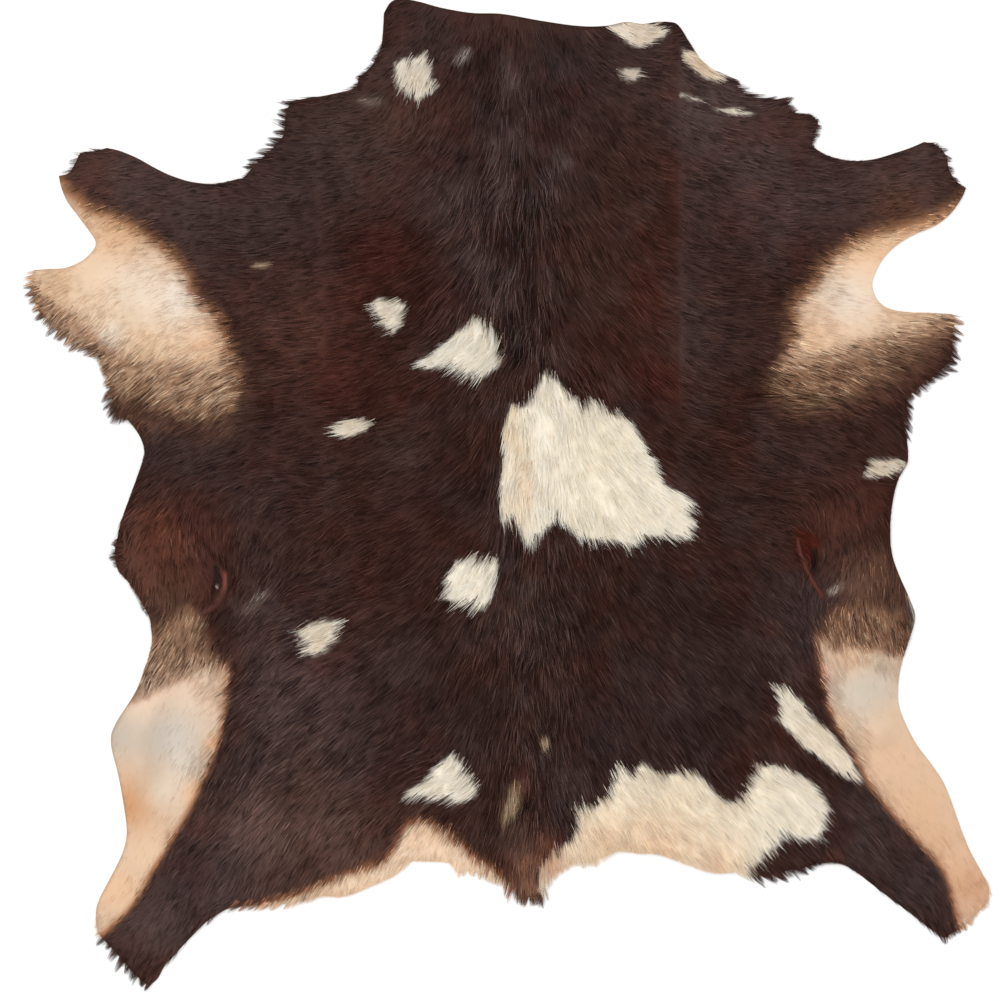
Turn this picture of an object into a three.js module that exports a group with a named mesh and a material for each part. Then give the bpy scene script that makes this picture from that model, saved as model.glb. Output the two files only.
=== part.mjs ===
// A goatskin rug: one tanned hide with its hair on, laid out flat with its hair side up.
// Millimetres. +Z is up and the floor is z = 0. +Y runs along the back towards the neck, and +X to the
// right as seen from above. The origin is on the floor, in the middle of the hide's box.
import * as THREE from "three";

// Driving sizes
const FLANK_COAT = 9; // height of the combed coat on the flanks, skin included
const BACK_COAT = 8; // how much higher the longer hair stands along the back
const BACK_HALF_WIDTH = 42; // from the back's line to where its long hair ends
const EDGE_COAT = 3; // skin and hair at the cut edge
const EDGE_FALL = 30; // width of the strip in which the coat thins out towards the cut edge
const LOCK_TIP = 0.8; // thickness of a hair lock at its tip
const LOCK_ROOT = 10; // width of a lock's root, and the spacing of the points on the cut edge
const LEAST_LOCK = 2.5; // a shorter fringe than this stays a plain edge
const OUTWARD_SHARE = 0.7; // how far a lock turns from the hair's lie to the edge's outward direction
const INNER_PITCH = 18; // spacing of the surface's points inside the edge
const LUMP = 1.1; // height of the coat's soft lumps, about 10 cm apart

// A table's rows as objects with the named columns.
const rows = (columns, table) =>
  table.map((row) => Object.fromEntries(columns.map((name, i) => [name, row[i]])));

// The cut edge, clockwise from the neck's left corner, in stretches that meet at corners. x and y are a
// point on the edge of the skin. lock is how far the hair reaches past it there, and lie is the direction
// in which that hair points, in degrees from +X.
const bare = (table) => rows(["x", "y"], table).map((row) => ({ ...row, lock: 0, lie: 0 }));
const hairy = (table) => rows(["x", "y", "lock", "lie"], table);
const edge = {
  neckCut: bare([
    [-107, 436], [-100, 446], [-90, 449], [-74, 446], [-54, 441], [-27, 436], [0, 435], [36, 429],
    [68, 424], [92, 424], [111, 428], [126, 426], [142, 428], [155, 427], [162, 421],
  ]),
  rightNeckSide: bare([[162, 421], [170, 407], [180, 393], [192, 383], [202, 379], [209, 377]]),
  rightWithers: hairy([
    [209, 377, 4, 10], [214, 367, 6, 0], [227, 360, 6, 15], [241, 359, 7, 25], [255, 357, 10, 25],
    [258, 350, 7, 15], [267, 345, 3, 10], [278, 344, 3, 0], [284, 336, 4, 0], [280, 326, 7, 5],
    [279, 316, 4, 0],
  ]),
  rightShoulderBay: bare([
    [279, 316], [288, 310], [302, 305], [317, 303], [335, 305], [353, 310], [367, 315], [379, 320],
  ]),
  rightForelegEnd: hairy([
    [379, 320, 3, 40], [390, 317, 5, 10], [399, 307, 6, 0], [402, 295, 6, -5], [409, 284, 3, -10],
    [417, 279, 3, -10],
  ]),
  rightForelegUnderside: bare([
    [417, 279], [413, 269], [403, 255], [390, 245], [371, 237], [356, 228], [344, 217], [336, 204],
    [333, 191], [338, 177], [349, 170], [364, 167], [387, 166], [405, 165],
  ]),
  rightElbow: hairy([
    [405, 165, 9, -20], [406, 155, 12, -35], [405, 142, 8, -50], [405, 131, 8, -30], [401, 121, 11, -20],
    [391, 112, 10, -30], [379, 104, 9, -35], [370, 96, 8, -40], [364, 90, 7, -35],
  ]),
  rightBelly: hairy([
    [364, 90, 7, -35], [363, 77, 7, -40], [361, 65, 7, -50], [364, 50, 4, -55], [365, 40, 0, 0],
    [364, 30, 0, 0], [356, 16, 0, 0], [351, -7, 0, 0], [349, -31, 0, 0], [351, -51, 0, 0],
    [357, -70, 0, 0], [367, -92, 0, 0], [371, -108, 0, 0], [365, -131, 0, 0], [359, -151, 0, 0],
    [356, -171, 0, 0], [358, -191, 0, 0], [371, -220, 0, 0], [387, -241, 0, 0], [399, -261, 0, 0],
    [414, -301, 0, 0], [421, -318, 0, 0], [432, -338, 0, 0], [438, -351, 3, -30],
  ]),
  rightHindFoot: hairy([
    [438, -351, 3, -30], [436, -364, 4, -40], [427, -374, 4, -50], [416, -385, 5, -55],
    [405, -392, 7, -65], [397, -396, 7, -75],
  ]),
  rightHindInside: hairy([
    [397, -396, 6, -90], [387, -389, 3, -100], [374, -379, 1, -90], [342, -355, 1, -90],
    [322, -340, 1, -90], [306, -330, 1, -60], [286, -329, 4, -35], [270, -333, 10, -35],
    [254, -336, 13, -38], [238, -340, 11, -40], [225, -340, 6, -50], [212, -337, 1, -60],
    [194, -338, 1, -60], [178, -334, 1, -60], [162, -328, 1, -60], [140, -321, 1, -60],
    [122, -320, 1, -60], [104, -318, 1, -70], [90, -324, 4, -80], [78, -329, 5, -75],
    [65, -328, 4, -80], [54, -334, 5, -85], [42, -341, 6, -80],
  ]),
  tail: hairy([
    [42, -341, 6, -80], [37, -350, 9, -80], [32, -359, 12, -88], [16, -359, 13, -94],
    [12, -350, 9, -100], [3, -345, 7, -100],
  ]),
  leftHindInside: hairy([
    [3, -345, 7, -100], [-9, -341, 6, -95], [-31, -336, 5, -95], [-41, -338, 4, -90],
    [-47, -329, 1, -90], [-72, -327, 1, -100], [-85, -328, 1, -110], [-94, -338, 1, -120],
    [-112, -347, 1, -120], [-142, -359, 1, -120], [-164, -359, 2, -130], [-184, -364, 4, -145],
    [-207, -367, 6, -150], [-230, -368, 6, -150], [-248, -370, 4, -145], [-263, -379, 3, -135],
    [-277, -392, 4, -130], [-302, -419, 5, -125], [-310, -432, 6, -120], [-318, -440, 8, -112],
  ]),
  leftHindFoot: hairy([
    [-318, -440, 9, -105], [-326, -433, 9, -112], [-336, -423, 11, -120], [-346, -412, 10, -125],
    [-356, -401, 8, -135], [-364, -392, 7, -160],
  ]),
  leftHindOutside: hairy([
    [-364, -392, 3, -170], [-366, -378, 1, 180], [-363, -362, 1, 180], [-345, -327, 1, 180],
    [-339, -308, 1, 180], [-339, -290, 1, 180], [-345, -252, 0, 180], [-352, -221, 0, 180],
    [-348, -203, 0, 180], [-329, -172, 0, 180], [-316, -135, 0, 180], [-316, -117, 0, 180],
    [-319, -105, 3, 150], [-335, -78, 1, 160], [-346, -65, 3, 165], [-349, -50, 7, 130],
    [-347, -38, 3, 120], [-342, -19, 0, 0], [-324, 31, 0, 0], [-323, 45, 0, 0], [-328, 58, 0, 0],
    [-337, 70, 5, -110],
  ]),
  leftElbow: hairy([
    [-337, 70, 8, -110], [-348, 76, 14, -120], [-351, 88, 9, -135], [-352, 99, 7, -150],
    [-357, 111, 4, -145], [-362, 124, 4, -150], [-368, 132, 6, -140], [-381, 137, 9, -130],
    [-393, 145, 11, -135], [-405, 157, 11, -138], [-416, 166, 11, -145], [-422, 179, 8, -165],
    [-423, 192, 9, 180], [-422, 205, 10, 175],
  ]),
  leftForelegUnderside: bare([
    [-422, 205], [-407, 206], [-394, 207], [-380, 212], [-370, 220], [-366, 229], [-371, 239],
    [-382, 253], [-392, 267], [-397, 280], [-399, 289],
  ]),
  leftForelegEnd: hairy([
    [-399, 289, 3, 170], [-390, 292, 5, 170], [-384, 302, 7, 175], [-379, 310, 5, 170],
    [-367, 312, 3, 150], [-356, 315, 3, 150],
  ]),
  leftShoulderBay: bare([
    [-356, 315], [-344, 312], [-329, 306], [-313, 297], [-297, 289], [-279, 284], [-259, 282],
    [-245, 285], [-233, 288],
  ]),
  leftWithers: hairy([
    [-233, 288, 7, 180], [-223, 299, 11, 180], [-202, 319, 13, 178], [-197, 328, 15, 168],
    [-196, 339, 15, 172], [-194, 349, 13, 180], [-189, 357, 8, 175],
  ]),
  leftNeckSide: hairy([
    [-189, 357, 2, 160], [-174, 360, 1, 160], [-157, 362, 1, 160], [-133, 369, 3, 160],
    [-129, 378, 4, 160], [-119, 387, 4, 155], [-112, 398, 3, 150], [-108, 410, 0, 150],
    [-107, 436, 0, 150],
  ]),
};

// The line of the back from the neck to the tail. share is how much of the long hair stands there.
const back = rows(["x", "y", "share"], [
  [7, 423, 0.2], [11, 369, 0.8], [13, 270, 1.1], [20, 153, 1], [13, 54, 0.6], [23, -54, 0.55],
  [20, -162, 0.7], [20, -270, 0.6], [23, -346, 0.5],
]);

// Where the hair is short and close, as on the belly side of the legs: an oval and its coat's height.
const thinCoat = rows(["name", "x", "y", "halfX", "halfY", "turn", "height"], [
  ["left armpit", -315, 194, 94, 56, -25, 4],
  ["right armpit", 328, 184, 76, 54, 25, 4],
  ["left groin", -315, -238, 43, 108, 4, 4],
  ["left hock", -338, -346, 31, 63, -22, 5],
  ["right groin", 335, -184, 40, 72, 12, 4],
  ["right hock", 396, -302, 31, 81, 28, 4.5],
]);

// Where the hide stands off the floor: a fold runs from one point to another, is halfWidth to each side
// and rises by that much. A fold with sharp set has a narrow crest, as a crease has.
const folds = rows(["name", "x", "y", "toX", "toY", "halfWidth", "rise", "sharp"], [
  ["left flank bulge", -315, -27, -292, -76, 52, 15, false],
  ["left flank pucker", -250, -61, -248, -88, 15, 9, false],
  ["left flank fold to the groin", -266, -101, -286, -122, 23, 7, false],
  ["left hind roll", -326, -191, -331, -236, 36, 13, false],
  ["right flank fold", 268, -34, 286, -83, 20, 13, false],
  ["right flank bulge", 313, -25, 326, -74, 45, 12, false],
  ["right hind roll", 346, -106, 342, -135, 31, 12, false],
  ["right knee crease", 340, -212, 364, -200, 18, 6, false],
  ["storage crease right of the back", 162, 418, 163, 81, 50, 5, true],
  ["storage crease left of the back", -164, 297, -160, 108, 45, 2.5, true],
  ["neck wave", 111, 416, 115, 396, 29, 8, false],
  ["left haunch ripple", -158, -148, -108, -261, 38, 4, false],
  ["second left haunch ripple", -220, -140, -184, -236, 32, 3.5, false],
  ["right haunch ripple", 135, -162, 171, -261, 41, 3, false],
]);

// Where the hide is pressed in beside a fold: the same columns, and depth in place of rise.
const hollows = rows(["name", "x", "y", "toX", "toY", "halfWidth", "depth"], [
  ["left pucker's pit", -262, -67, -261, -83, 14, 9],
  ["right fold's pit", 285, -41, 290, -59, 14, 9],
  ["left belly dip", -279, 22, -261, 20, 36, 3],
  ["right belly dip", 315, 9, 335, 5, 31, 3],
]);

const smooth = (t) => {
  const s = THREE.MathUtils.clamp(t, 0, 1);
  return s * s * (3 - 2 * s);
};

// A number from 0 to 1 that is the same each time for the same i.
const scatter = (i) => {
  const wave = Math.sin(i * 127.1 + 11.7) * 43758.5453;
  return wave - Math.floor(wave);
};

// How far a point is from the stretch between two others, and how far along it its foot lies, 0 to 1.
function fromStretch(point, start, end) {
  const dx = end.x - start.x;
  const dy = end.y - start.y;
  const along = ((point.x - start.x) * dx + (point.y - start.y) * dy) / (dx * dx + dy * dy);
  const share = THREE.MathUtils.clamp(along, 0, 1);
  const distance = Math.hypot(point.x - start.x - share * dx, point.y - start.y - share * dy);
  return { distance, share };
}

// The points on the cut edge, LOCK_ROOT apart, each with the lock and lie that its stretch has there.
function edgePoints() {
  const points = [];
  for (const stretch of Object.values(edge)) {
    const corners = stretch.map((row) => new THREE.Vector3(row.x, row.y, 0));
    const curve = new THREE.CatmullRomCurve3(corners, false, "centripetal");
    const steps = Math.max(1, Math.round(curve.getLength() / LOCK_ROOT));
    for (let i = 0; i < steps; i++) {
      const place = curve.getUtoTmapping(i / steps) * (stretch.length - 1);
      const before = stretch[Math.floor(place)];
      const after = stretch[Math.ceil(place)];
      const share = place - Math.floor(place);
      const { x, y } = curve.getPointAt(i / steps);
      const lock = THREE.MathUtils.lerp(before.lock, after.lock, share);
      points.push({ x, y, lock, lie: share < 0.5 ? before.lie : after.lie });
    }
  }
  return points;
}

function isInside(point, ring) {
  let inside = false;
  for (let i = 0, j = ring.length - 1; i < ring.length; j = i++) {
    const a = ring[i];
    const b = ring[j];
    const crosses = a.y > point.y !== b.y > point.y;
    if (crosses && point.x < a.x + ((point.y - a.y) / (b.y - a.y)) * (b.x - a.x)) inside = !inside;
  }
  return inside;
}

function fromRing(point, ring) {
  return Math.min(...ring.map((a, i) => fromStretch(point, a, ring[(i + 1) % ring.length]).distance));
}

// Points in a staggered grid inside the ring, kept clear of it so that the triangles stay well shaped.
function innerPoints(ring) {
  const box = new THREE.Box2().setFromPoints(ring.map(({ x, y }) => new THREE.Vector2(x, y)));
  const rowPitch = (INNER_PITCH * Math.sqrt(3)) / 2;
  const points = [];
  for (let row = 0, y = box.min.y; y < box.max.y; row++, y += rowPitch) {
    for (let x = box.min.x + (row % 2) * 0.5 * INNER_PITCH; x < box.max.x; x += INNER_PITCH) {
      const point = { x: x + scatter(row * 61 + x), y: y + scatter(row * 17 - x) };
      if (isInside(point, ring) && fromRing(point, ring) > 0.62 * INNER_PITCH) points.push(point);
    }
  }
  return points;
}

// Delaunay triangles of the points, by adding one point after another: the triangles whose circle holds
// the new point give way to a fan from it.
function triangulate(points) {
  const far = 1e5;
  const all = [...points, { x: -far, y: -far }, { x: far, y: -far }, { x: 0, y: far }];
  const circle = (a, b, c) => {
    const [p, q, r] = [all[a], all[b], all[c]];
    const d = 2 * (p.x * (q.y - r.y) + q.x * (r.y - p.y) + r.x * (p.y - q.y));
    const [pp, qq, rr] = [p, q, r].map((v) => v.x * v.x + v.y * v.y);
    const x = (pp * (q.y - r.y) + qq * (r.y - p.y) + rr * (p.y - q.y)) / d;
    const y = (pp * (r.x - q.x) + qq * (p.x - r.x) + rr * (q.x - p.x)) / d;
    return { corners: [a, b, c], x, y, reach: Math.hypot(p.x - x, p.y - y) };
  };
  let triangles = [circle(points.length, points.length + 1, points.length + 2)];
  points.forEach((point, n) => {
    const holds = (t) => Math.hypot(point.x - t.x, point.y - t.y) < t.reach;
    const rim = new Map();
    for (const t of triangles.filter(holds)) {
      t.corners.forEach((a, i) => {
        const b = t.corners[(i + 1) % 3];
        if (!rim.delete(`${b} ${a}`)) rim.set(`${a} ${b}`, [a, b]);
      });
    }
    triangles = triangles.filter((t) => !holds(t));
    for (const [a, b] of rim.values()) triangles.push(circle(a, b, n));
  });
  return triangles.map((t) => t.corners).filter((t) => t.every((i) => i < points.length));
}

// Height of the coat, skin included, at a point that far in from the cut edge.
function coatAt(point, inFromEdge) {
  let height = FLANK_COAT;
  for (const oval of thinCoat) {
    const turn = THREE.MathUtils.degToRad(oval.turn);
    const dx = point.x - oval.x;
    const dy = point.y - oval.y;
    const across = (dx * Math.cos(turn) + dy * Math.sin(turn)) / oval.halfX;
    const along = (dy * Math.cos(turn) - dx * Math.sin(turn)) / oval.halfY;
    height = THREE.MathUtils.lerp(oval.height, height, smooth(Math.hypot(across, along) * 1.6 - 0.6));
  }
  let longHair = 0;
  for (let i = 0; i + 1 < back.length; i++) {
    const { distance, share } = fromStretch(point, back[i], back[i + 1]);
    const here = THREE.MathUtils.lerp(back[i].share, back[i + 1].share, share);
    longHair = Math.max(longHair, here * (1 - smooth(distance / BACK_HALF_WIDTH)));
  }
  height += BACK_COAT * longHair;
  height += LUMP * Math.sin(point.x / 25 + point.y / 71) * Math.sin(point.y / 38 - point.x / 60);
  height += 0.5 * LUMP * Math.sin(point.x / 14 - point.y / 19) * Math.sin(point.x / 33 + point.y / 16);
  return THREE.MathUtils.lerp(EDGE_COAT, height, smooth(inFromEdge / EDGE_FALL));
}

// How far the skin stands off the floor at a point that far in from the cut edge.
function liftAt(point, inFromEdge) {
  let lift = 0;
  for (const fold of folds) {
    const { distance } = fromStretch(point, fold, { x: fold.toX, y: fold.toY });
    const fall = 1 - distance / fold.halfWidth;
    lift += fold.rise * (fold.sharp ? Math.max(0, fall) ** 2 : smooth(fall));
  }
  for (const hollow of hollows) {
    const { distance } = fromStretch(point, hollow, { x: hollow.toX, y: hollow.toY });
    lift -= hollow.depth * smooth(1 - distance / hollow.halfWidth);
  }
  return Math.max(0, lift) * smooth(inFromEdge / EDGE_FALL);
}

// The tip of the lock that grows from the edge between two of its points.
function lockTip(a, b, i) {
  const outward = new THREE.Vector2(a.y - b.y, b.x - a.x).normalize().multiplyScalar(OUTWARD_SHARE);
  const lie = THREE.MathUtils.degToRad(a.lie);
  const way = new THREE.Vector2(Math.cos(lie), Math.sin(lie)).add(outward).normalize();
  const long = a.lock * (0.75 + 0.55 * scatter(i));
  return { x: (a.x + b.x) / 2 + way.x * long, y: (a.y + b.y) / 2 + way.y * long };
}

// The closed surface: the coat above, the skin below, the same triangles in both, and the edge's wall,
// which runs out and back round each lock.
function hideGeometry() {
  const ring = edgePoints();
  const points = [...ring, ...innerPoints(ring)];
  const middle = (t, axis) => t.reduce((sum, i) => sum + points[i][axis], 0) / 3;
  const faces = triangulate(points).filter((t) => isInside({ x: middle(t, "x"), y: middle(t, "y") }, ring));
  const upper = [];
  const lower = [];
  const addPoint = (x, y, bottom, top) => {
    upper.push([x, y, top]);
    lower.push([x, y, bottom]);
    return upper.length - 1;
  };
  points.forEach((point, i) => {
    const inFromEdge = i < ring.length ? 0 : fromRing(point, ring);
    const lift = liftAt(point, inFromEdge);
    addPoint(point.x, point.y, lift, lift + coatAt(point, inFromEdge));
  });
  const rim = [];
  ring.forEach((a, i) => {
    const next = (i + 1) % ring.length;
    rim.push(i);
    if (a.lock < LEAST_LOCK) return;
    const tip = lockTip(a, ring[next], i);
    rim.push(addPoint(tip.x, tip.y, 0, LOCK_TIP));
    faces.push([i, next, upper.length - 1]);
  });
  const missing = ring.findIndex((_, i) => {
    const next = (i + 1) % ring.length;
    return !faces.some((t) => t.includes(i) && t.includes(next));
  });
  if (missing >= 0) throw new Error(`no triangle stands on the edge after point ${missing}`);
  const count = upper.length;
  const turnsLeft = ([a, b, c]) => {
    const [p, q, r] = [upper[a], upper[b], upper[c]];
    return (q[0] - p[0]) * (r[1] - p[1]) - (q[1] - p[1]) * (r[0] - p[0]) > 0;
  };
  const index = [];
  for (const face of faces) {
    const [a, b, c] = turnsLeft(face) ? face : [face[0], face[2], face[1]];
    index.push(a, b, c, a + count, c + count, b + count);
  }
  rim.forEach((a, i) => {
    const b = rim[(i + 1) % rim.length];
    index.push(a, b, b + count, a, b + count, a + count);
  });
  const geometry = new THREE.BufferGeometry();
  geometry.setAttribute("position", new THREE.Float32BufferAttribute([...upper, ...lower].flat(), 3));
  geometry.setIndex(index);
  geometry.computeVertexNormals();
  return geometry;
}

const goatskin = new THREE.Mesh(
  hideGeometry(),
  new THREE.MeshStandardMaterial({ color: 0x3b2521, roughness: 0.8, metalness: 0 }),
);
goatskin.name = "goatskin";

const rug = new THREE.Group();
rug.add(goatskin);
const box = new THREE.Box3().setFromObject(rug);
goatskin.position.set(-(box.min.x + box.max.x) / 2, -(box.min.y + box.max.y) / 2, 0);

export default rug;
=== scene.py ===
# A goatskin rug with its hair on, laid on a pale floor and seen from straight above.
# Tables give places on a plan of the hide: x to the right, y down, planUnit mm a step. Heights are mm.
# Meshes are made in metres in the frame's axes, with +Y towards the neck and the floor at z = 0.
import bpy
import numpy as np
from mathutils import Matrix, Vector
from mathutils.geometry import delaunay_2d_cdt


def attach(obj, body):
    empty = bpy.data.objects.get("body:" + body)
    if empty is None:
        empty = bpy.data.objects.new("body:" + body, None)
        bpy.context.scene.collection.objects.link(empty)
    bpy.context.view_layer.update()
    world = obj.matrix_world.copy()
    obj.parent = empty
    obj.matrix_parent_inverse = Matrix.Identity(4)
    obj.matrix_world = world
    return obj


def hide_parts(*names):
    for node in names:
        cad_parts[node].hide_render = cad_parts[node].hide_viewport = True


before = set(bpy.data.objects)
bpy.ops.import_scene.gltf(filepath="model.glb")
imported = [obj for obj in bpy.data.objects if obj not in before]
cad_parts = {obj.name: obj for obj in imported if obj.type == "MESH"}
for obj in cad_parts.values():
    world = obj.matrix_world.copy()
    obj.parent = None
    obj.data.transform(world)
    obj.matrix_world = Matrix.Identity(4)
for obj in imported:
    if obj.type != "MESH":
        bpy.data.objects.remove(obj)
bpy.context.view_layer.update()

mm = 0.001  # m
planUnit = 0.9  # mm
planMiddle = np.array([502.5, 497.5])


# Plan places to mm in the frame: ((x - 502.5) 0.9, (497.5 - y) 0.9).
def onHide(places):
    return (np.asarray(places, float) - planMiddle) * planUnit * [1, -1]


# 0 below low, 1 above high, and t^2 (3 - 2t) between.
def ease(value, low=0.0, high=1.0):
    t = np.clip((value - low) / (high - low), 0, 1)
    return t * t * (3 - 2 * t)


# A screen colour to the light it stands for: ((c + 0.055) / 1.055)^2.4, or c / 12.92 when dark.
def toLinear(colours):
    c = np.asarray(colours, float) / 255
    return np.where(c > 0.04045, ((c + 0.055) / 1.055) ** 2.4, c / 12.92)


# Smooth noise from -1 to 1: random values on a square lattice of that pitch, eased between corners.
def softNoise(places, pitch, seed):
    cells = 400
    lattice = np.random.default_rng(seed).uniform(-1, 1, (cells, cells))
    p = places / pitch + cells / 2
    cell = np.floor(p).astype(int)
    u, v = ease(p - cell).T
    i, j = np.clip(cell, 0, cells - 2).T
    low = lattice[i, j] * (1 - u) + lattice[i + 1, j] * u
    high = lattice[i, j + 1] * (1 - u) + lattice[i + 1, j + 1] * u
    return low * (1 - v) + high * v


# Distance to a stretch a to b, |p - a - t (b - a)| with t = (p - a).(b - a) / |b - a|^2 held in 0 to 1.
def toStretch(places, a, b):
    way = b - a
    t = np.clip(((places - a) @ way) / max(way @ way, 1e-9), 0, 1)
    gap = places - a - t[:, None] * way
    return np.hypot(gap[:, 0], gap[:, 1])


# Distance to a ring's nearest side, positive inside, and the number of that side. A place is inside
# where a line from it to +x crosses an odd number of sides.
def signedDistance(places, ring):
    best = np.full(len(places), 1e9)
    side = np.zeros(len(places), int)
    inside = np.zeros(len(places), bool)
    x, y = places.T
    for i, (a, b) in enumerate(zip(ring, np.roll(ring, -1, axis=0))):
        gap = toStretch(places, a, b)
        nearer = gap < best
        best[nearer] = gap[nearer]
        side[nearer] = i
        if a[1] != b[1]:
            across = a[0] + (y - a[1]) * (b[0] - a[0]) / (b[1] - a[1])
            inside ^= ((a[1] > y) != (b[1] > y)) & (x < across)
    return np.where(inside, best, -best), side


# The cut edge of the skin, clockwise from the neck's left corner, in stretches that meet at corners:
# x, y, how far hair reaches past the edge in mm, and that hair's heading in degrees from +X. Where the
# last two are left out, no hair reaches past it.
edgeRows = {
    "neckCut": [
        (384, 13), (391, 2), (402, -1), (420, 2), (442, 8), (472, 13), (502, 14), (542, 21), (578, 26),
        (605, 26), (626, 22), (642, 24), (660, 22), (675, 23), (682, 30),
    ],
    "rightNeckSide": [
        (682, 30), (691, 45), (702, 61), (716, 72), (727, 76), (735, 79),
    ],
    "rightWithers": [
        (735, 79, 4, 10), (740, 90, 6, 0), (755, 98, 6, 15), (770, 99, 7, 25), (786, 101, 10, 25),
        (789, 109, 7, 15), (799, 114, 3, 10), (811, 115, 3, 0), (818, 124, 4, 0), (814, 135, 7, 5),
        (812, 146, 4, 0),
    ],
    "rightShoulderBay": [
        (812, 146), (822, 153), (838, 159), (855, 161), (875, 159), (895, 153), (910, 148), (924, 142),
    ],
    "rightForelegEnd": [
        (924, 142, 3, 40), (936, 145, 5, 10), (946, 156, 6, 0), (949, 170, 6, -5), (957, 182, 3, -10),
        (966, 188, 3, -10),
    ],
    "rightForelegUnderside": [
        (966, 188), (961, 199), (950, 214), (936, 225), (915, 234), (898, 244), (885, 256), (876, 271),
        (872, 285), (878, 301), (890, 309), (907, 312), (932, 313), (952, 314),
    ],
    "rightElbow": [
        (952, 314, 9, -20), (954, 325, 12, -35), (952, 340, 8, -50), (952, 352, 8, -30),
        (948, 363, 11, -20), (937, 373, 10, -30), (924, 382, 9, -35), (914, 391, 8, -40),
        (907, 398, 7, -35),
    ],
    "rightBelly": [
        (907, 398, 7, -35), (906, 412, 7, -40), (904, 425, 7, -50), (907, 442, 4, -55), (908, 453),
        (907, 464), (898, 480), (892, 505), (890, 532), (892, 554), (899, 575), (910, 600), (915, 618),
        (908, 643), (901, 665), (898, 688), (900, 710), (915, 742), (932, 765), (946, 788), (962, 832),
        (970, 851), (982, 873), (989, 888, 3, -30),
    ],
    "rightHindFoot": [
        (989, 888, 3, -30), (987, 902, 4, -40), (977, 913, 4, -50), (965, 925, 5, -55),
        (952, 933, 7, -65), (944, 938, 7, -75),
    ],
    "rightHindInside": [
        (944, 938, 6, -90), (932, 930, 3, -100), (918, 919, 1, -90), (882, 892, 1, -90),
        (860, 875, 1, -90), (842, 864, 1, -60), (820, 863, 4, -35), (802, 868, 10, -35),
        (785, 871, 13, -38), (767, 875, 11, -40), (752, 875, 6, -50), (738, 872, 1, -60),
        (718, 873, 1, -60), (700, 869, 1, -60), (682, 862, 1, -60), (658, 854, 1, -60),
        (638, 853, 1, -60), (618, 851, 1, -70), (602, 858, 4, -80), (589, 863, 5, -75),
        (575, 862, 4, -80), (562, 869, 5, -85), (549, 876, 6, -80),
    ],
    "tail": [
        (549, 876, 6, -80), (544, 886, 9, -80), (538, 896, 12, -88), (520, 896, 13, -94),
        (516, 886, 9, -100), (506, 881, 7, -100),
    ],
    "leftHindInside": [
        (506, 881, 7, -100), (492, 876, 6, -95), (468, 871, 5, -95), (457, 873, 4, -90),
        (450, 863, 1, -90), (422, 861, 1, -100), (408, 862, 1, -110), (398, 873, 1, -120),
        (378, 883, 1, -120), (345, 896, 1, -120), (320, 896, 2, -130), (298, 902, 4, -145),
        (272, 905, 6, -150), (247, 906, 6, -150), (227, 909, 4, -145), (210, 919, 3, -135),
        (195, 933, 4, -130), (167, 963, 5, -125), (158, 978, 6, -120), (149, 986, 8, -112),
    ],
    "leftHindFoot": [
        (149, 986, 9, -105), (140, 979, 9, -112), (129, 968, 11, -120), (118, 955, 10, -125),
        (107, 943, 8, -135), (98, 933, 7, -160),
    ],
    "leftHindOutside": [
        (98, 933, 3, -170), (96, 918, 1, 180), (99, 900, 1, 180), (119, 861, 1, 180),
        (126, 840, 1, 180), (126, 820, 1, 180), (119, 778, 0, 180), (111, 743, 0, 180),
        (116, 723, 0, 180), (137, 689, 0, 180), (151, 648, 0, 180), (151, 628, 0, 180),
        (148, 614, 3, 150), (130, 584, 1, 160), (118, 570, 3, 165), (115, 553, 7, 130),
        (117, 540, 3, 120), (122, 519), (142, 463), (144, 448), (138, 433), (128, 420, 5, -110),
    ],
    "leftElbow": [
        (128, 420, 8, -110), (116, 413, 14, -120), (112, 400, 9, -135), (111, 388, 7, -150),
        (106, 374, 4, -145), (100, 360, 4, -150), (94, 351, 6, -140), (79, 345, 9, -130),
        (66, 336, 11, -135), (52, 323, 11, -138), (40, 313, 11, -145), (34, 299, 8, -165),
        (32, 284, 9, 180), (34, 270, 10, 175),
    ],
    "leftForelegUnderside": [
        (34, 270), (50, 269), (65, 268), (80, 262), (91, 253), (96, 243), (90, 232), (78, 216),
        (67, 201), (61, 186), (59, 176),
    ],
    "leftForelegEnd": [
        (59, 176, 3, 170), (69, 173, 5, 170), (76, 162, 7, 175), (81, 153, 5, 170), (95, 151, 3, 150),
        (107, 148, 3, 150),
    ],
    "leftShoulderBay": [
        (107, 148), (120, 151), (137, 158), (155, 168), (172, 176), (192, 182), (215, 184), (230, 181),
        (244, 178),
    ],
    "leftWithers": [
        (244, 178, 7, 180), (255, 165, 11, 180), (278, 143, 13, 178), (284, 133, 15, 168),
        (285, 121, 15, 172), (287, 110, 13, 180), (292, 101, 8, 175),
    ],
    "leftNeckSide": [
        (292, 101, 2, 160), (309, 98, 1, 160), (328, 95, 1, 160), (355, 88, 3, 160), (359, 78, 4, 160),
        (370, 68, 4, 155), (378, 55, 3, 150), (382, 42, 0, 150), (384, 13, 0, 150),
    ],
}
edgePitch = 3.0  # mm
edgeSteps = 12  # points from one row to the next, before they are spaced evenly


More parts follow.
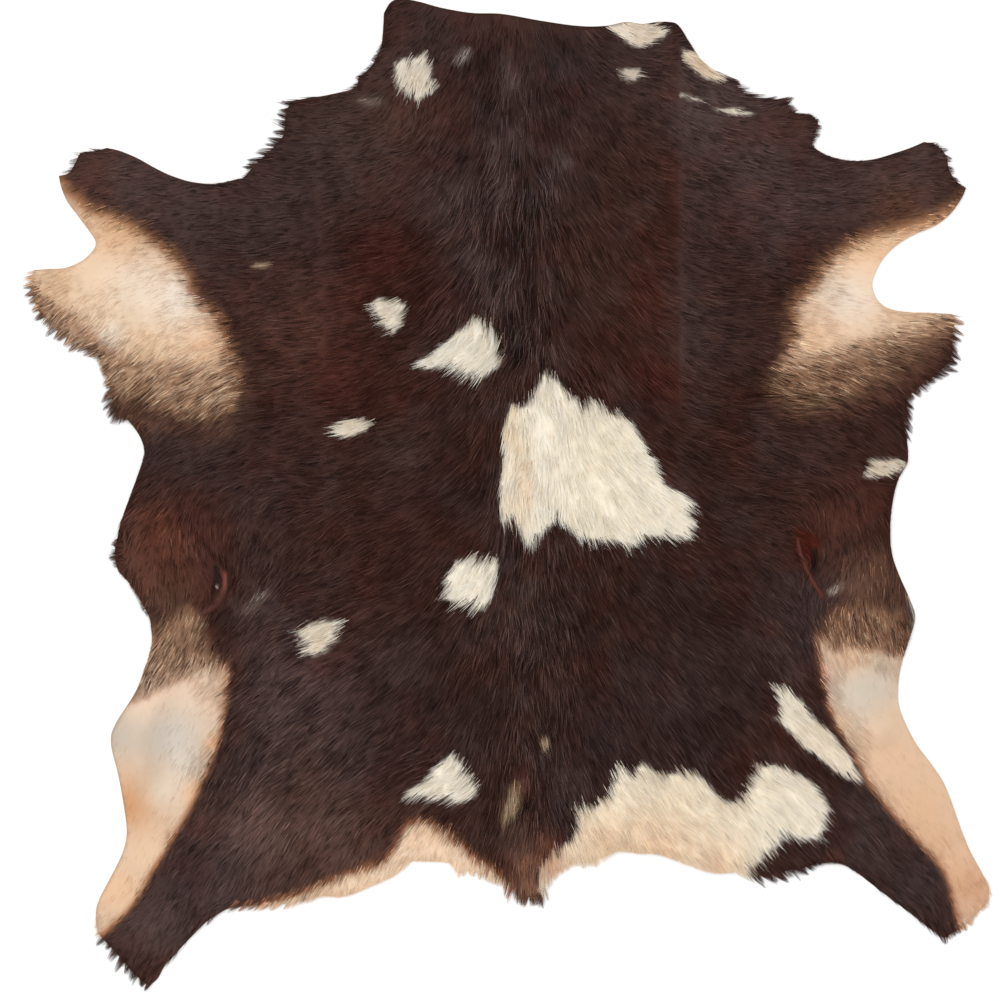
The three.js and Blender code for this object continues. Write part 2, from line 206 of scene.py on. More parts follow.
# Points along a smooth curve through the rows, at that pitch, between rows b and c of a, b, c, d:
# (2 b + (c - a) t + (2 a - 5 b + 4 c - d) t^2 + (3 b - a - 3 c + d) t^3) / 2.
def edgeCurve(rows, pitch):
    table = np.array([(*row, 0, 0)[:4] for row in rows], float)
    table[:, :2] = onHide(table[:, :2])
    padded = np.vstack([2 * table[0] - table[1], table, 2 * table[-1] - table[-2]])
    t = np.linspace(0, 1, edgeSteps, endpoint=False)[:, None]
    parts = []
    for a, b, c, d in zip(padded, padded[1:], padded[2:], padded[3:]):
        square = (2 * a - 5 * b + 4 * c - d) * t**2
        cube = (3 * b - a - 3 * c + d) * t**3
        bend = (2 * b + (c - a) * t + square + cube) / 2
        bend[:, 3] = b[3]
        parts.append(bend)
    line = np.vstack([*parts, table[-1:]])
    along = np.concatenate([[0], np.cumsum(np.hypot(*np.diff(line[:, :2], axis=0).T))])
    marks = np.linspace(0, along[-1], max(2, round(along[-1] / pitch) + 1))[:-1]
    return np.column_stack([np.interp(marks, along, line[:, k]) for k in range(4)])


edge = np.vstack([edgeCurve(rows, edgePitch) for rows in edgeRows.values()])
print("cut edge:", len(edge), "points")

# Where the hide stands off the floor, as lines: halfWidth mm to each side, rise mm, 1 for a narrow crest
# as a crease has, and the places along the line.
foldRows = {
    "left flank bulge": (52, 14, 0, [(114, 531), (141, 592)]),
    "left flank fold to the groin": (24, 7, 0, [(216, 604), (206, 614), (184, 636)]),
    "left hind roll": (36, 11, 0, [(140, 710), (134, 760)]),
    "right flank bulge": (44, 11, 0, [(851, 525), (865, 580)]),
    "right hind roll": (30, 10, 0, [(887, 616), (882, 648)]),
    "right knee crease": (17, 5, 0, [(881, 734), (908, 720)]),
    "storage crease right of the back": (46, 5, 1, [(679, 30), (679, 408)]),
    "storage crease left of the back": (44, 2.5, 1, [(320, 168), (325, 378)]),
    "neck wave": (28, 6, 0, [(626, 35), (631, 58)]),
    "left haunch ripple": (38, 4, 0, [(328, 663), (383, 788)]),
    "second left haunch ripple": (32, 3.5, 0, [(258, 653), (298, 760)]),
    "right haunch ripple": (41, 3, 0, [(653, 678), (693, 788)]),
    "left belly dip": (36, -3, 0, [(193, 473), (213, 475)]),
    "right belly dip": (31, -3, 0, [(852, 488), (874, 492)]),
}

# The small bare folds and slits of the two flank puckers: the same columns.
lipRows = {
    "left lip": (5.5, 6, 0, [(222, 567), (226, 573), (226, 584), (223, 595), (215, 606), (203, 613)]),
    "left slit": (3.2, -9, 0, [(216, 568), (217, 580), (214, 592)]),
    "left pit": (14, -6, 0, [(228, 612), (218, 624)]),
    "right lip": (2.6, 6, 0, [(797, 539), (800, 554), (806, 568), (812, 580), (822, 596)]),
    "right slit": (3.4, -9, 0, [(808, 543), (813, 553), (815, 572)]),
}

hide = {
    "skin": 1.8,  # mm, as are the values down to fleshClear
    "edgeSkin": 1.3,
    "leastSkin": 1.2,
    "edgeSlope": 9.0,
    "edgeFall": 27.0,
    "swell": 0.5,
    "swellPitch": 60,
    "pitch": 3.7,
    "clear": 1.8,  # from the cut edge to the first points inside it
    "finePitch": 1.7,
    "fineReach": 30.0,
    "fleshPitch": 11.0,
    "fleshClear": 5.0,
    "puckers": [(216, 592), (808, 566)],
    "bareLengths": (8.5, 13.0),  # mm of hair in the bare places, and where the coat is full
    "leastShare": 0.1,  # hairs in the bare places
    "lipBare": (0.2, 0.45),  # shares of a lip's half width: bare up to one, hairy from the other
    "underCoat": 0.35,  # share of the hair's rise
    "underLayers": [(0.4, 7, 31)],  # of noise: amount, pitch in mm and seed
    "raggedLayers": [(0.4, 6, 34)],
    "tipShare": 0.6,  # of the hair tips' colour
    "shade": 0.75,  # of the dark hair side, and how much more where it is pale, and bare too
    "paleShade": 0.16,
    "bareShade": 0.09,
    "fleck": 0.08,  # lighter and darker spots of noise, and how much more of them where bare
    "bareFleck": -0.06,
    "fleckLayers": [(1, 4, 35)],
    "suede": (206, 180, 150),
    "suedeLayers": [(0.12, 14, 33)],
}


# Nearest distance to a line through the places of a row.
def toLine(places, line):
    points = onHide(line)
    return np.min([toStretch(places, a, b) for a, b in zip(points, points[1:])], axis=0)


# Sum of rise * ease(1 - d / halfWidth), or rise * (1 - d / halfWidth)^2 at a narrow crest.
def raised(places, rows):
    height = np.zeros(len(places))
    for halfWidth, rise, narrow, line in rows.values():
        fall = 1 - toLine(places, line) / halfWidth
        height += rise * (np.clip(fall, 0, 1) ** 2 if narrow else ease(fall))
    return height


# The skin's height off the floor, never below 0, falling to 0 at the cut edge.
def liftAt(places, inFromEdge):
    lift = raised(places, foldRows) + hide["swell"] * (1 + softNoise(places, hide["swellPitch"], 5))
    return np.maximum(lift, 0) * ease(inFromEdge / hide["edgeFall"])


# How the hair lies: x, y, heading in degrees from +X, length in mm and rise of its tip in mm.
lieRows = [
    (400, 20, 215, 13, 3), (450, 25, 235, 14, 3.5), (500, 30, 265, 16, 4), (560, 35, 290, 15, 3.5),
    (612, 40, 325, 15, 3.5), (630, 38, 335, 15, 3.5), (655, 36, 20, 14, 3), (630, 76, 345, 15, 3.5),
    (700, 65, 320, 14, 3.5), (690, 97, 335, 15, 3.5), (385, 60, 205, 13, 3), (410, 72, 240, 16, 4),
    (420, 88, 262, 16, 4), (450, 90, 235, 15, 4), (485, 100, 255, 22, 6), (520, 100, 275, 24, 6),
    (550, 110, 290, 18, 5), (600, 110, 310, 15, 4), (650, 110, 325, 15, 4), (720, 105, 345, 14, 3.5),
    (780, 110, 355, 14, 3.5), (300, 110, 182, 13, 3.5), (350, 110, 190, 14, 3.5),
    (340, 160, 185, 15, 4), (280, 150, 180, 13, 3.5), (400, 150, 200, 16, 4), (450, 160, 225, 18, 5),
    (480, 180, 245, 26, 7), (510, 190, 268, 30, 9), (540, 190, 285, 28, 8), (575, 190, 300, 20, 5.5),
    (620, 190, 318, 17, 4.5), (680, 180, 338, 16, 4), (740, 180, 350, 16, 4), (800, 190, 355, 15, 4),
    (850, 185, 3, 13, 3.5), (900, 180, 5, 13, 3), (940, 185, 350, 12, 3), (240, 200, 182, 15, 4),
    (180, 200, 178, 13, 3.5), (120, 180, 178, 12, 3), (80, 170, 190, 11, 2.5), (100, 212, 212, 12, 2.5),
    (70, 200, 235, 7, 1.5), (125, 230, 205, 11, 2.2), (163, 254, 195, 12, 2.4),
    (192, 288, 190, 13, 2.6), (215, 318, 190, 15, 3), (100, 265, 200, 8, 1.6), (50, 280, 195, 14, 3),
    (150, 300, 200, 9, 2), (100, 310, 222, 13, 3), (70, 320, 225, 16, 3.5), (190, 320, 195, 12, 3),
    (150, 345, 220, 17, 4), (110, 370, 232, 20, 4.5), (200, 370, 215, 19, 4.5),
    (240, 350, 190, 18, 4.5), (160, 400, 225, 20, 4.5), (210, 420, 215, 19, 4.5),
    (130, 410, 232, 19, 4), (180, 455, 205, 16, 4), (145, 470, 215, 13, 3), (230, 470, 192, 18, 4.5),
    (270, 250, 184, 18, 4.5), (300, 350, 184, 19, 5), (380, 250, 192, 18, 4.5), (370, 340, 190, 19, 5),
    (440, 260, 215, 20, 5.5), (430, 350, 205, 22, 6), (480, 280, 235, 26, 7), (470, 345, 222, 26, 7),
    (505, 300, 262, 30, 9), (535, 310, 283, 28, 8), (575, 310, 305, 20, 5.5), (620, 300, 322, 18, 5),
    (680, 300, 343, 18, 4.5), (740, 300, 352, 18, 4.5), (800, 260, 350, 15, 4),
    (845, 240, 348, 12, 2.4), (900, 222, 12, 11, 2.2), (808, 285, 352, 13, 2.8),
    (860, 280, 355, 8, 1.8), (845, 320, 350, 10, 2.4), (900, 330, 352, 14, 3), (935, 328, 345, 16, 3.5),
    (880, 360, 340, 19, 4.5), (820, 360, 345, 18, 4.5), (930, 360, 325, 16, 3.5),
    (840, 400, 335, 20, 4.5), (895, 395, 318, 18, 4), (790, 410, 345, 19, 4.5), (870, 440, 330, 18, 4),
    (895, 430, 310, 16, 3.5), (820, 460, 345, 17, 4), (880, 468, 345, 14, 3.5), (330, 425, 184, 19, 5),
    (270, 400, 186, 19, 5), (300, 480, 184, 19, 5), (400, 430, 196, 20, 5), (460, 430, 220, 20, 5),
    (495, 430, 255, 22, 6), (400, 500, 196, 20, 5), (460, 510, 215, 20, 5), (530, 420, 275, 26, 7),
    (560, 400, 285, 26, 7), (600, 430, 305, 24, 6.5), (640, 440, 322, 22, 6), (530, 500, 270, 26, 7),
    (580, 500, 290, 25, 7), (630, 510, 308, 24, 6.5), (675, 515, 325, 22, 6), (700, 420, 345, 19, 5),
    (760, 400, 350, 18, 4.5), (740, 490, 348, 19, 5), (790, 480, 345, 16, 4), (780, 540, 335, 15, 4),
    (240, 545, 252, 14, 4), (205, 520, 262, 14, 4), (150, 515, 215, 14, 4), (130, 550, 262, 14, 3.5),
    (185, 545, 275, 12, 4), (165, 575, 268, 15, 4), (205, 565, 300, 9, 3), (145, 600, 250, 16, 4),
    (240, 590, 240, 13, 4), (262, 605, 218, 17, 5), (195, 600, 262, 12, 3.5), (185, 628, 250, 17, 4),
    (245, 520, 240, 15, 4), (165, 650, 240, 18, 4), (205, 650, 248, 14, 3.5), (240, 620, 232, 17, 4.5),
    (320, 600, 196, 18, 4.5), (320, 635, 195, 18, 4.5), (400, 600, 208, 20, 5), (470, 585, 225, 22, 6),
    (500, 620, 258, 24, 7), (525, 620, 268, 26, 8), (555, 620, 283, 24, 7), (600, 610, 302, 20, 5),
    (660, 610, 318, 19, 5), (720, 600, 330, 18, 4.5), (770, 610, 320, 17, 4.5), (826, 510, 272, 13, 4),
    (860, 520, 285, 14, 4), (828, 572, 238, 10, 3.5), (838, 588, 228, 11, 4), (855, 565, 262, 15, 4),
    (882, 560, 282, 16, 3.5), (820, 610, 300, 15, 4), (855, 612, 290, 18, 4), (890, 610, 278, 17, 4),
    (870, 640, 290, 13, 3), (250, 680, 222, 19, 4.5), (320, 700, 215, 20, 5), (400, 690, 222, 20, 5),
    (460, 690, 235, 20, 5), (495, 720, 255, 22, 6), (526, 720, 270, 26, 8), (556, 720, 285, 22, 6),
    (610, 700, 300, 20, 5), (680, 690, 312, 20, 5), (745, 680, 315, 19, 5), (800, 670, 308, 17, 4.5),
    (180, 690, 235, 8, 1.8), (140, 720, 230, 7, 1.5), (200, 720, 240, 9, 2), (150, 780, 252, 7, 1.5),
    (180, 790, 245, 9, 2), (140, 840, 240, 8, 1.6), (120, 890, 232, 9, 2), (100, 925, 225, 12, 2.5),
    (230, 760, 228, 18, 4.5), (200, 840, 228, 16, 4), (160, 900, 228, 14, 3.5), (140, 960, 240, 14, 3),
    (180, 930, 245, 13, 3), (300, 780, 222, 20, 5), (260, 850, 235, 18, 4.5), (260, 900, 250, 13, 3),
    (340, 850, 235, 18, 4.5), (360, 880, 245, 12, 3), (380, 770, 215, 21, 5), (440, 780, 205, 24, 6),
    (470, 790, 215, 22, 6), (430, 845, 240, 13, 3), (470, 860, 255, 13, 3), (490, 820, 250, 20, 5),
    (505, 850, 262, 18, 5), (526, 800, 270, 28, 8), (527, 860, 270, 26, 6), (527, 895, 270, 22, 3),
    (550, 810, 285, 24, 6), (560, 860, 280, 20, 4.5), (600, 830, 300, 22, 5.5),
    (610, 865, 290, 16, 3.5), (640, 790, 312, 24, 6.5), (680, 830, 315, 22, 5.5),
    (680, 780, 310, 24, 6), (720, 860, 305, 20, 5), (740, 810, 315, 23, 6), (780, 790, 322, 24, 6),
    (800, 830, 318, 22, 5.5), (760, 860, 310, 20, 4.5), (795, 710, 308, 22, 5.5),
    (830, 750, 308, 20, 5), (800, 865, 320, 15, 3.5), (860, 680, 300, 7, 1.5), (890, 720, 305, 7, 1.5),
    (880, 760, 308, 8, 1.8), (920, 800, 306, 8, 1.8), (950, 870, 305, 9, 2), (970, 900, 300, 12, 2.5),
    (845, 790, 312, 18, 4.5), (880, 840, 315, 16, 4), (920, 890, 312, 14, 3.5), (940, 925, 300, 14, 3),
    (860, 860, 318, 14, 3.5),
]

# Tones of the dark coat: x, y, reach on the plan, strength and colour. Besides the coat's own tones, the
# grey rows paint sheen, as along the spine, and some dark rows paint shade, as in the hollow below the left
# pucker's lip.
toneSheenAndShadeRows = [
    (500, 130, 62, 0.5, (60, 47, 46)), (500, 290, 50, 0.4, (56, 42, 40)),
    (430, 45, 45, 0.8, (62, 43, 41)), (560, 75, 45, 0.8, (48, 36, 36)),
    (484, 61, 16, 0.95, (28, 14, 10)), (484, 106, 9, 0.8, (34, 20, 17)),
    (482, 124, 9, 0.7, (36, 22, 19)), (515, 150, 8, 0.8, (34, 22, 19)),
    (517, 166, 8, 0.8, (34, 22, 19)), (513, 226, 12, 0.9, (32, 18, 14)),
    (514, 244, 12, 0.8, (32, 18, 14)), (547, 186, 7, 0.8, (34, 22, 20)),
    (548, 204, 7, 0.8, (34, 22, 20)), (534, 236, 7, 0.8, (34, 22, 19)),
    (533, 256, 7, 0.8, (34, 22, 19)), (532, 284, 7, 0.7, (36, 24, 20)),
    (519, 325, 12, 0.8, (34, 19, 15)), (520, 350, 12, 0.8, (34, 19, 15)),
    (506, 65, 9, 0.8, (90, 74, 72)), (493, 146, 6, 0.8, (88, 72, 70)), (495, 160, 6, 0.7, (86, 70, 68)),
    (568, 163, 7, 0.8, (104, 90, 88)), (528, 198, 9, 0.7, (84, 68, 67)),
    (509, 275, 7, 0.8, (90, 74, 72)), (483, 275, 14, 0.6, (78, 60, 58)),
    (548, 272, 9, 0.6, (74, 60, 58)), (468, 200, 24, 0.6, (70, 54, 53)),
    (500, 210, 9, 0.6, (84, 68, 66)), (444, 292, 22, 0.8, (54, 22, 15)),
    (512, 80, 12, 0.8, (92, 74, 72)), (630, 100, 50, 0.7, (62, 40, 35)),
    (600, 60, 30, 0.5, (52, 38, 36)), (650, 40, 25, 0.4, (64, 48, 46)),
    (720, 120, 50, 0.8, (84, 65, 62)), (760, 160, 50, 0.7, (80, 61, 58)),
    (770, 220, 45, 0.7, (76, 58, 57)), (830, 190, 40, 0.6, (78, 60, 58)),
    (900, 175, 50, 0.7, (82, 62, 58)), (900, 208, 24, 0.6, (104, 64, 44)),
    (560, 160, 10, 0.6, (90, 76, 74)), (340, 140, 60, 0.8, (72, 53, 48)),
    (400, 130, 36, 0.7, (88, 58, 50)), (390, 190, 40, 0.6, (78, 58, 54)),
    (270, 220, 60, 0.8, (72, 52, 50)), (290, 160, 30, 0.5, (60, 44, 40)),
    (250, 300, 50, 0.8, (68, 46, 42)), (200, 210, 40, 0.7, (76, 58, 56)),
    (130, 180, 50, 0.8, (80, 60, 57)), (90, 180, 22, 0.5, (84, 50, 40)),
    (385, 255, 40, 0.8, (72, 27, 18)), (330, 380, 50, 0.7, (80, 33, 23)),
    (440, 300, 26, 0.8, (58, 22, 14)), (420, 400, 40, 0.6, (64, 28, 19)),
    (350, 300, 30, 0.6, (78, 32, 22)), (298, 330, 46, 0.8, (92, 57, 47)),
    (300, 430, 50, 0.7, (72, 42, 36)), (270, 480, 50, 0.7, (70, 46, 42)),
    (450, 210, 26, 0.7, (86, 66, 62)), (470, 260, 22, 0.7, (82, 62, 60)),
    (440, 170, 30, 0.5, (66, 48, 46)), (530, 210, 14, 0.9, (36, 22, 18)),
    (528, 270, 14, 0.9, (34, 20, 16)), (524, 340, 16, 0.9, (36, 22, 18)),
    (503, 195, 13, 0.8, (88, 68, 66)), (514, 140, 14, 0.7, (82, 64, 63)),
    (550, 180, 14, 0.7, (74, 58, 58)), (503, 300, 11, 0.7, (74, 56, 54)),
    (548, 290, 12, 0.5, (68, 50, 46)), (400, 455, 30, 0.7, (80, 59, 53)),
    (410, 495, 30, 0.7, (56, 22, 14)), (450, 430, 30, 0.4, (52, 34, 28)),
    (400, 555, 50, 0.6, (60, 27, 19)), (340, 560, 50, 0.7, (66, 40, 34)),
    (470, 500, 30, 0.5, (46, 25, 19)), (480, 640, 40, 0.5, (58, 36, 30)),
    (600, 280, 46, 0.6, (72, 46, 38)), (650, 300, 34, 0.7, (74, 33, 23)),
    (660, 380, 26, 0.8, (74, 26, 16)), (720, 330, 50, 0.6, (66, 44, 40)),
    (740, 430, 50, 0.6, (58, 32, 25)), (300, 480, 40, 0.6, (58, 30, 23)),
    (720, 520, 50, 0.6, (56, 36, 32)), (575, 200, 34, 0.5, (64, 44, 38)),
    (620, 210, 40, 0.5, (68, 42, 34)), (570, 330, 30, 0.5, (54, 38, 34)),
    (640, 620, 80, 0.8, (46, 24, 17)), (700, 590, 50, 0.7, (46, 24, 17)),
    (760, 560, 40, 0.6, (54, 36, 32)), (670, 700, 50, 0.8, (52, 38, 37)),
    (740, 680, 45, 0.8, (50, 34, 31)), (600, 740, 45, 0.8, (50, 36, 35)),
    (800, 640, 34, 0.7, (56, 42, 41)), (700, 750, 30, 0.7, (40, 26, 24)),
    (522, 590, 14, 0.7, (76, 58, 52)), (525, 650, 13, 0.6, (66, 48, 44)),
    (520, 700, 13, 0.6, (60, 42, 38)), (545, 620, 20, 0.5, (50, 38, 36)),
    (505, 560, 14, 0.6, (48, 38, 38)), (270, 620, 40, 0.7, (74, 54, 52)),
    (330, 700, 60, 0.8, (86, 63, 60)), (270, 700, 45, 0.8, (82, 63, 60)),
    (312, 706, 11, 0.6, (50, 36, 36)), (352, 722, 18, 0.6, (48, 33, 32)),
    (372, 768, 16, 0.5, (48, 33, 32)), (282, 757, 10, 0.6, (50, 36, 34)),
    (430, 700, 22, 0.5, (46, 30, 27)), (318, 742, 9, 0.6, (92, 70, 64)),
    (297, 678, 12, 0.5, (96, 76, 74)), (345, 790, 10, 0.5, (88, 54, 48)),
    (252, 812, 18, 0.6, (106, 76, 70)), (262, 664, 8, 0.6, (48, 32, 28)),
    (400, 660, 40, 0.6, (62, 42, 38)), (415, 730, 34, 0.6, (50, 36, 34)),
    (360, 760, 30, 0.6, (56, 42, 42)), (460, 740, 36, 0.6, (52, 36, 34)),
    (470, 690, 34, 0.5, (56, 36, 30)), (250, 770, 34, 0.7, (64, 50, 50)),
    (300, 830, 55, 0.85, (112, 84, 75)), (240, 850, 45, 0.8, (100, 76, 70)),
    (360, 850, 40, 0.7, (98, 70, 60)), (190, 870, 40, 0.7, (62, 50, 51)),
    (150, 930, 45, 0.8, (86, 67, 63)), (210, 900, 30, 0.6, (76, 60, 60)),
    (870, 820, 45, 0.8, (70, 55, 53)), (920, 890, 45, 0.8, (58, 45, 44)),
    (840, 850, 26, 0.6, (54, 42, 42)), (945, 925, 20, 0.5, (48, 34, 32)),
    (835, 856, 12, 0.7, (84, 44, 32)), (165, 545, 46, 0.9, (90, 45, 31)),
    (140, 580, 30, 0.6, (90, 56, 44)), (195, 560, 20, 0.5, (82, 46, 36)),
    (180, 600, 24, 0.6, (94, 62, 48)), (150, 620, 26, 0.7, (106, 74, 57)),
    # (225, 625) is painted shadow below the left pucker's lip.
    (240, 600, 20, 0.6, (66, 46, 42)), (225, 625, 18, 0.8, (50, 28, 22)),
    (205, 470, 40, 0.5, (66, 50, 48)), (175, 478, 24, 0.6, (60, 36, 30)),
    (165, 445, 28, 0.6, (68, 54, 54)), (230, 440, 30, 0.6, (72, 50, 46)),
    # (806, 548) is the right pucker's red cavity, darkened by painted shade.
    (806, 548, 12, 0.9, (78, 26, 12)), (860, 500, 34, 0.9, (72, 34, 22)),
    (828, 522, 24, 0.7, (86, 47, 34)), (845, 575, 26, 0.8, (78, 53, 45)),
    (875, 575, 20, 0.7, (80, 53, 41)), (800, 600, 30, 0.6, (58, 42, 42)),
    (850, 440, 36, 0.7, (66, 40, 34)), (800, 440, 34, 0.5, (62, 40, 36)),
    (830, 480, 26, 0.5, (64, 36, 30)), (890, 430, 22, 0.5, (60, 34, 28)),
    (880, 540, 22, 0.6, (76, 44, 32)), (527, 862, 15, 0.95, (142, 98, 76)),
    (528, 886, 15, 0.95, (146, 102, 80)), (510, 838, 18, 0.8, (94, 66, 56)),
    (521, 772, 8, 0.8, (92, 48, 40)), (523, 784, 7, 0.7, (88, 48, 40)),
    (492, 834, 16, 0.6, (60, 32, 24)), (550, 848, 14, 0.9, (112, 62, 42)),
    (560, 810, 24, 0.6, (48, 36, 34)), (545, 760, 26, 0.5, (50, 36, 34)),
    (240, 395, 20, 0.5, (88, 64, 50)), (900, 375, 20, 0.5, (76, 46, 38)),
    (930, 360, 20, 0.4, (62, 36, 30)),
]

# Pale and mixed places over the dark coat: mm over which they begin to each side of the outline, share at
# their middle (1 where no dark hair is left), how much single hairs differ, the colour half way, the
# colour in full, and the outline, which may run on past the hide's edge.
patchRows = {
    "left elbow's rim": (8, 0.22, 1.2, (116, 80, 62), (168, 128, 100), [
        (60, 326), (85, 345), (105, 372), (113, 392), (130, 393), (160, 402), (185, 412), (205, 420),
        (236, 420), (232, 440), (200, 442), (160, 432), (125, 440), (96, 415), (90, 372), (60, 350)]),
    "left foreleg's end": (8, 0.45, 1.7, (150, 110, 82), (226, 198, 170), [
        (10, 262), (44, 272), (52, 298), (80, 326), (102, 346), (92, 354), (60, 336), (34, 316), (12, 290)]),
    "left elbow": (11, 0.62, 1.9, (150, 110, 80), (230, 204, 176), [
        (50, 308), (84, 332), (102, 346), (120, 356), (137, 363), (167, 366), (203, 367), (230, 358),
        (240, 368), (240, 390), (232, 412), (205, 420), (185, 414), (160, 406), (140, 398), (116, 396),
        (101, 378), (96, 360), (70, 340), (50, 322)]),
    "right elbow's rim": (8, 0.25, 0.5, (112, 76, 58), (150, 110, 84), [
        (957, 330), (948, 350), (930, 370), (905, 392), (880, 402), (840, 418), (800, 424), (768, 408),
        (800, 408), (836, 402), (866, 388), (889, 378), (911, 358), (934, 342)]),
    "right elbow": (11, 0.5, 1.7, (140, 102, 76), (224, 192, 160), [
        (972, 310), (957, 328), (934, 342), (911, 357), (889, 376), (866, 388), (836, 402), (805, 410),
        (776, 398), (768, 384), (778, 366), (790, 350), (805, 350), (836, 348), (858, 337), (881, 330),
        (911, 324), (934, 316)]),
    "left groin's hair": (9, 0.58, 1.8, (136, 100, 76), (214, 184, 154), [
        (130, 648), (146, 632), (160, 626), (180, 612), (190, 608), (202, 618), (205, 638), (212, 652),
        (226, 664), (224, 676), (200, 676), (188, 684), (172, 692), (150, 704), (128, 708), (112, 716),
        (124, 690), (128, 665)]),
    "right groin's hair": (9, 0.5, 1.7, (134, 96, 72), (210, 176, 144), [
        (818, 640), (822, 622), (838, 608), (858, 602), (880, 606), (900, 612), (910, 628), (906, 655),
        (890, 664), (870, 660), (850, 658), (834, 658), (820, 655)]),
    "left armpit": (15, 1.0, 1.0, (160, 112, 80), (224, 196, 168), [
        (40, 168), (60, 184), (78, 203), (90, 211), (114, 219), (137, 231), (153, 244), (171, 256),
        (183, 274), (190, 289), (198, 304), (212, 313), (221, 330), (228, 350), (224, 374), (203, 374),
        (167, 370), (137, 366), (122, 360), (105, 348), (87, 335), (66, 318), (48, 302), (30, 284),
        (0, 270), (0, 180)]),
    "right armpit": (15, 1.0, 1.0, (156, 110, 78), (224, 194, 166), [
        (980, 192), (946, 213), (925, 222), (911, 226), (881, 234), (857, 242), (839, 254), (824, 268),
        (816, 285), (805, 296), (794, 306), (795, 321), (795, 336), (790, 351), (784, 366), (805, 362),
        (836, 357), (858, 346), (881, 339), (911, 332), (934, 325), (956, 320), (1000, 330), (1000, 190)]),
    "left groin": (5.5, 1.0, 0.9, (170, 116, 82), (212, 184, 158), [
        (228, 668), (204, 666), (191, 673), (177, 682), (160, 689), (144, 699), (120, 706), (90, 720),
        (80, 800), (70, 950), (100, 936), (112, 925), (124, 914), (134, 902), (143, 888), (150, 872),
        (160, 858), (170, 842), (182, 822), (193, 800), (203, 780), (211, 762), (218, 742), (223, 720),
        (225, 704), (226, 688)]),
    "right groin": (6, 1.0, 0.9, (166, 112, 82), (212, 182, 156), [
        (818, 634), (834, 650), (852, 648), (869, 650), (886, 654), (905, 656), (930, 670), (1010, 820),
        (1010, 930), (964, 940), (958, 918), (954, 900), (950, 885), (944, 870), (930, 853), (912, 833),
        (892, 812), (878, 796), (868, 780), (856, 758), (846, 741), (836, 724), (828, 701), (825, 684),
        (821, 666), (818, 650)]),
    "left rump's edge": (9, 1.0, 1.0, (160, 104, 72), (240, 216, 190), [
        (230, 912), (270, 903), (290, 897), (310, 890), (330, 882), (350, 873), (370, 868), (385, 862),
        (395, 850), (402, 836), (406, 824), (418, 821), (432, 825), (445, 832), (456, 840), (466, 850),
        (476, 859), (492, 868), (505, 882), (512, 902), (470, 900), (440, 900), (400, 900), (360, 920),
        (300, 935), (240, 930)]),
    "tail's head": (3.5, 0.72, 1.4, (128, 102, 78), (196, 174, 142), [
        (511, 784), (519, 784), (521, 798), (518, 812), (508, 820), (499, 818), (505, 804)]),
    "left of the neck's spot": (3, 0.4, 1.8, (110, 92, 84), (190, 176, 162), [
        (360, 99), (372, 96), (384, 98), (382, 104), (370, 108), (362, 105)]),
    "upper fleck": (3, 0.35, 2.2, (110, 98, 92), (200, 190, 180), [
        (455, 52), (462, 46), (472, 50), (470, 60), (460, 66), (454, 62)]),
    "left fleck": (2, 0.8, 0.6, (140, 112, 90), (205, 185, 160), [
        (252, 264), (268, 262), (270, 266), (258, 270)]),
    "flecks by the right pucker": (1.5, 0.42, 3.0, (130, 110, 100), (244, 236, 230), [
        (826, 591), (834, 585), (842, 582), (845, 586), (838, 592), (830, 596)]),
    "streaks by the left pucker": (4, 0.3, 2.2, (118, 100, 92), (206, 192, 182), [
        (242, 612), (250, 600), (262, 590), (270, 593), (260, 604), (248, 616)]),
    # Pale hair at the roll's edge, greyed by painted shade where the skin turns down.
    "right roll's shaded edge": (3, 0.9, 0.5, (110, 94, 80), (186, 178, 168), [
        (908, 588), (916, 600), (924, 620), (916, 655), (906, 672), (904, 656), (911, 634), (911, 616),
        (907, 602)]),
    "back's dot": (2, 1.0, 1.0, (140, 112, 92), (212, 186, 158), [
        (540, 740), (549, 738), (550, 748), (542, 750)]),
    "left lip": (2.5, 0.75, 0.6, (78, 43, 36), (102, 60, 53), [
        (221, 568), (227, 571), (229, 580), (228, 594), (222, 605), (210, 614), (201, 617), (203, 611),
        (211, 604), (218, 596), (221, 584), (221, 576)]),
    "left lip's red": (2, 0.8, 0.6, (96, 50, 42), (134, 74, 64), [
        (223, 571), (227, 573), (228, 582), (226, 590), (223, 590), (223, 580)]),
    # The slit's dark colour is painted shade in its hollow, and the glint is a painted highlight.
    "left slit": (1.6, 1.0, 0.1, (50, 31, 26), (44, 28, 24), [
        (215, 564), (218, 568), (220, 580), (217, 592), (213, 594), (214, 584), (214, 574)]),
    "left glint": (1, 1.0, 0.1, (110, 90, 84), (190, 176, 166), [
        (216.5, 585), (218, 585), (218, 588), (216.5, 588)]),
    # Red skin in the cavity, darkened by painted shade, and the slit's near black, which is painted shade.
    "right shaded cavity": (5, 0.9, 0.5, (72, 28, 16), (84, 32, 18), [
        (796, 530), (812, 532), (820, 540), (816, 552), (812, 564), (806, 560), (799, 548)]),
    "right slit": (2, 1.0, 0.1, (48, 26, 19), (34, 20, 15), [
        (811, 548), (816, 549), (817, 562), (816, 576), (813, 574), (811, 560)]),
    "right lip": (1.4, 0.7, 0.6, (84, 43, 34), (116, 65, 54), [
        (796, 538), (799, 538), (802, 552), (808, 566), (813, 578), (820, 588), (825, 597), (822, 599),
        (814, 589), (808, 579), (802, 567), (798, 554)]),
    "right lobe's pale hair": (10, 0.28, 1.0, (112, 78, 60), (168, 134, 106), [
        (845, 560), (885, 545), (902, 590), (904, 612), (860, 612), (838, 594)]),
    "left lobe's pale hair": (10, 0.1, 1.0, (112, 70, 52), (168, 126, 98), [
        (120, 520), (160, 505), (200, 540), (190, 590), (150, 600), (128, 570)]),
}

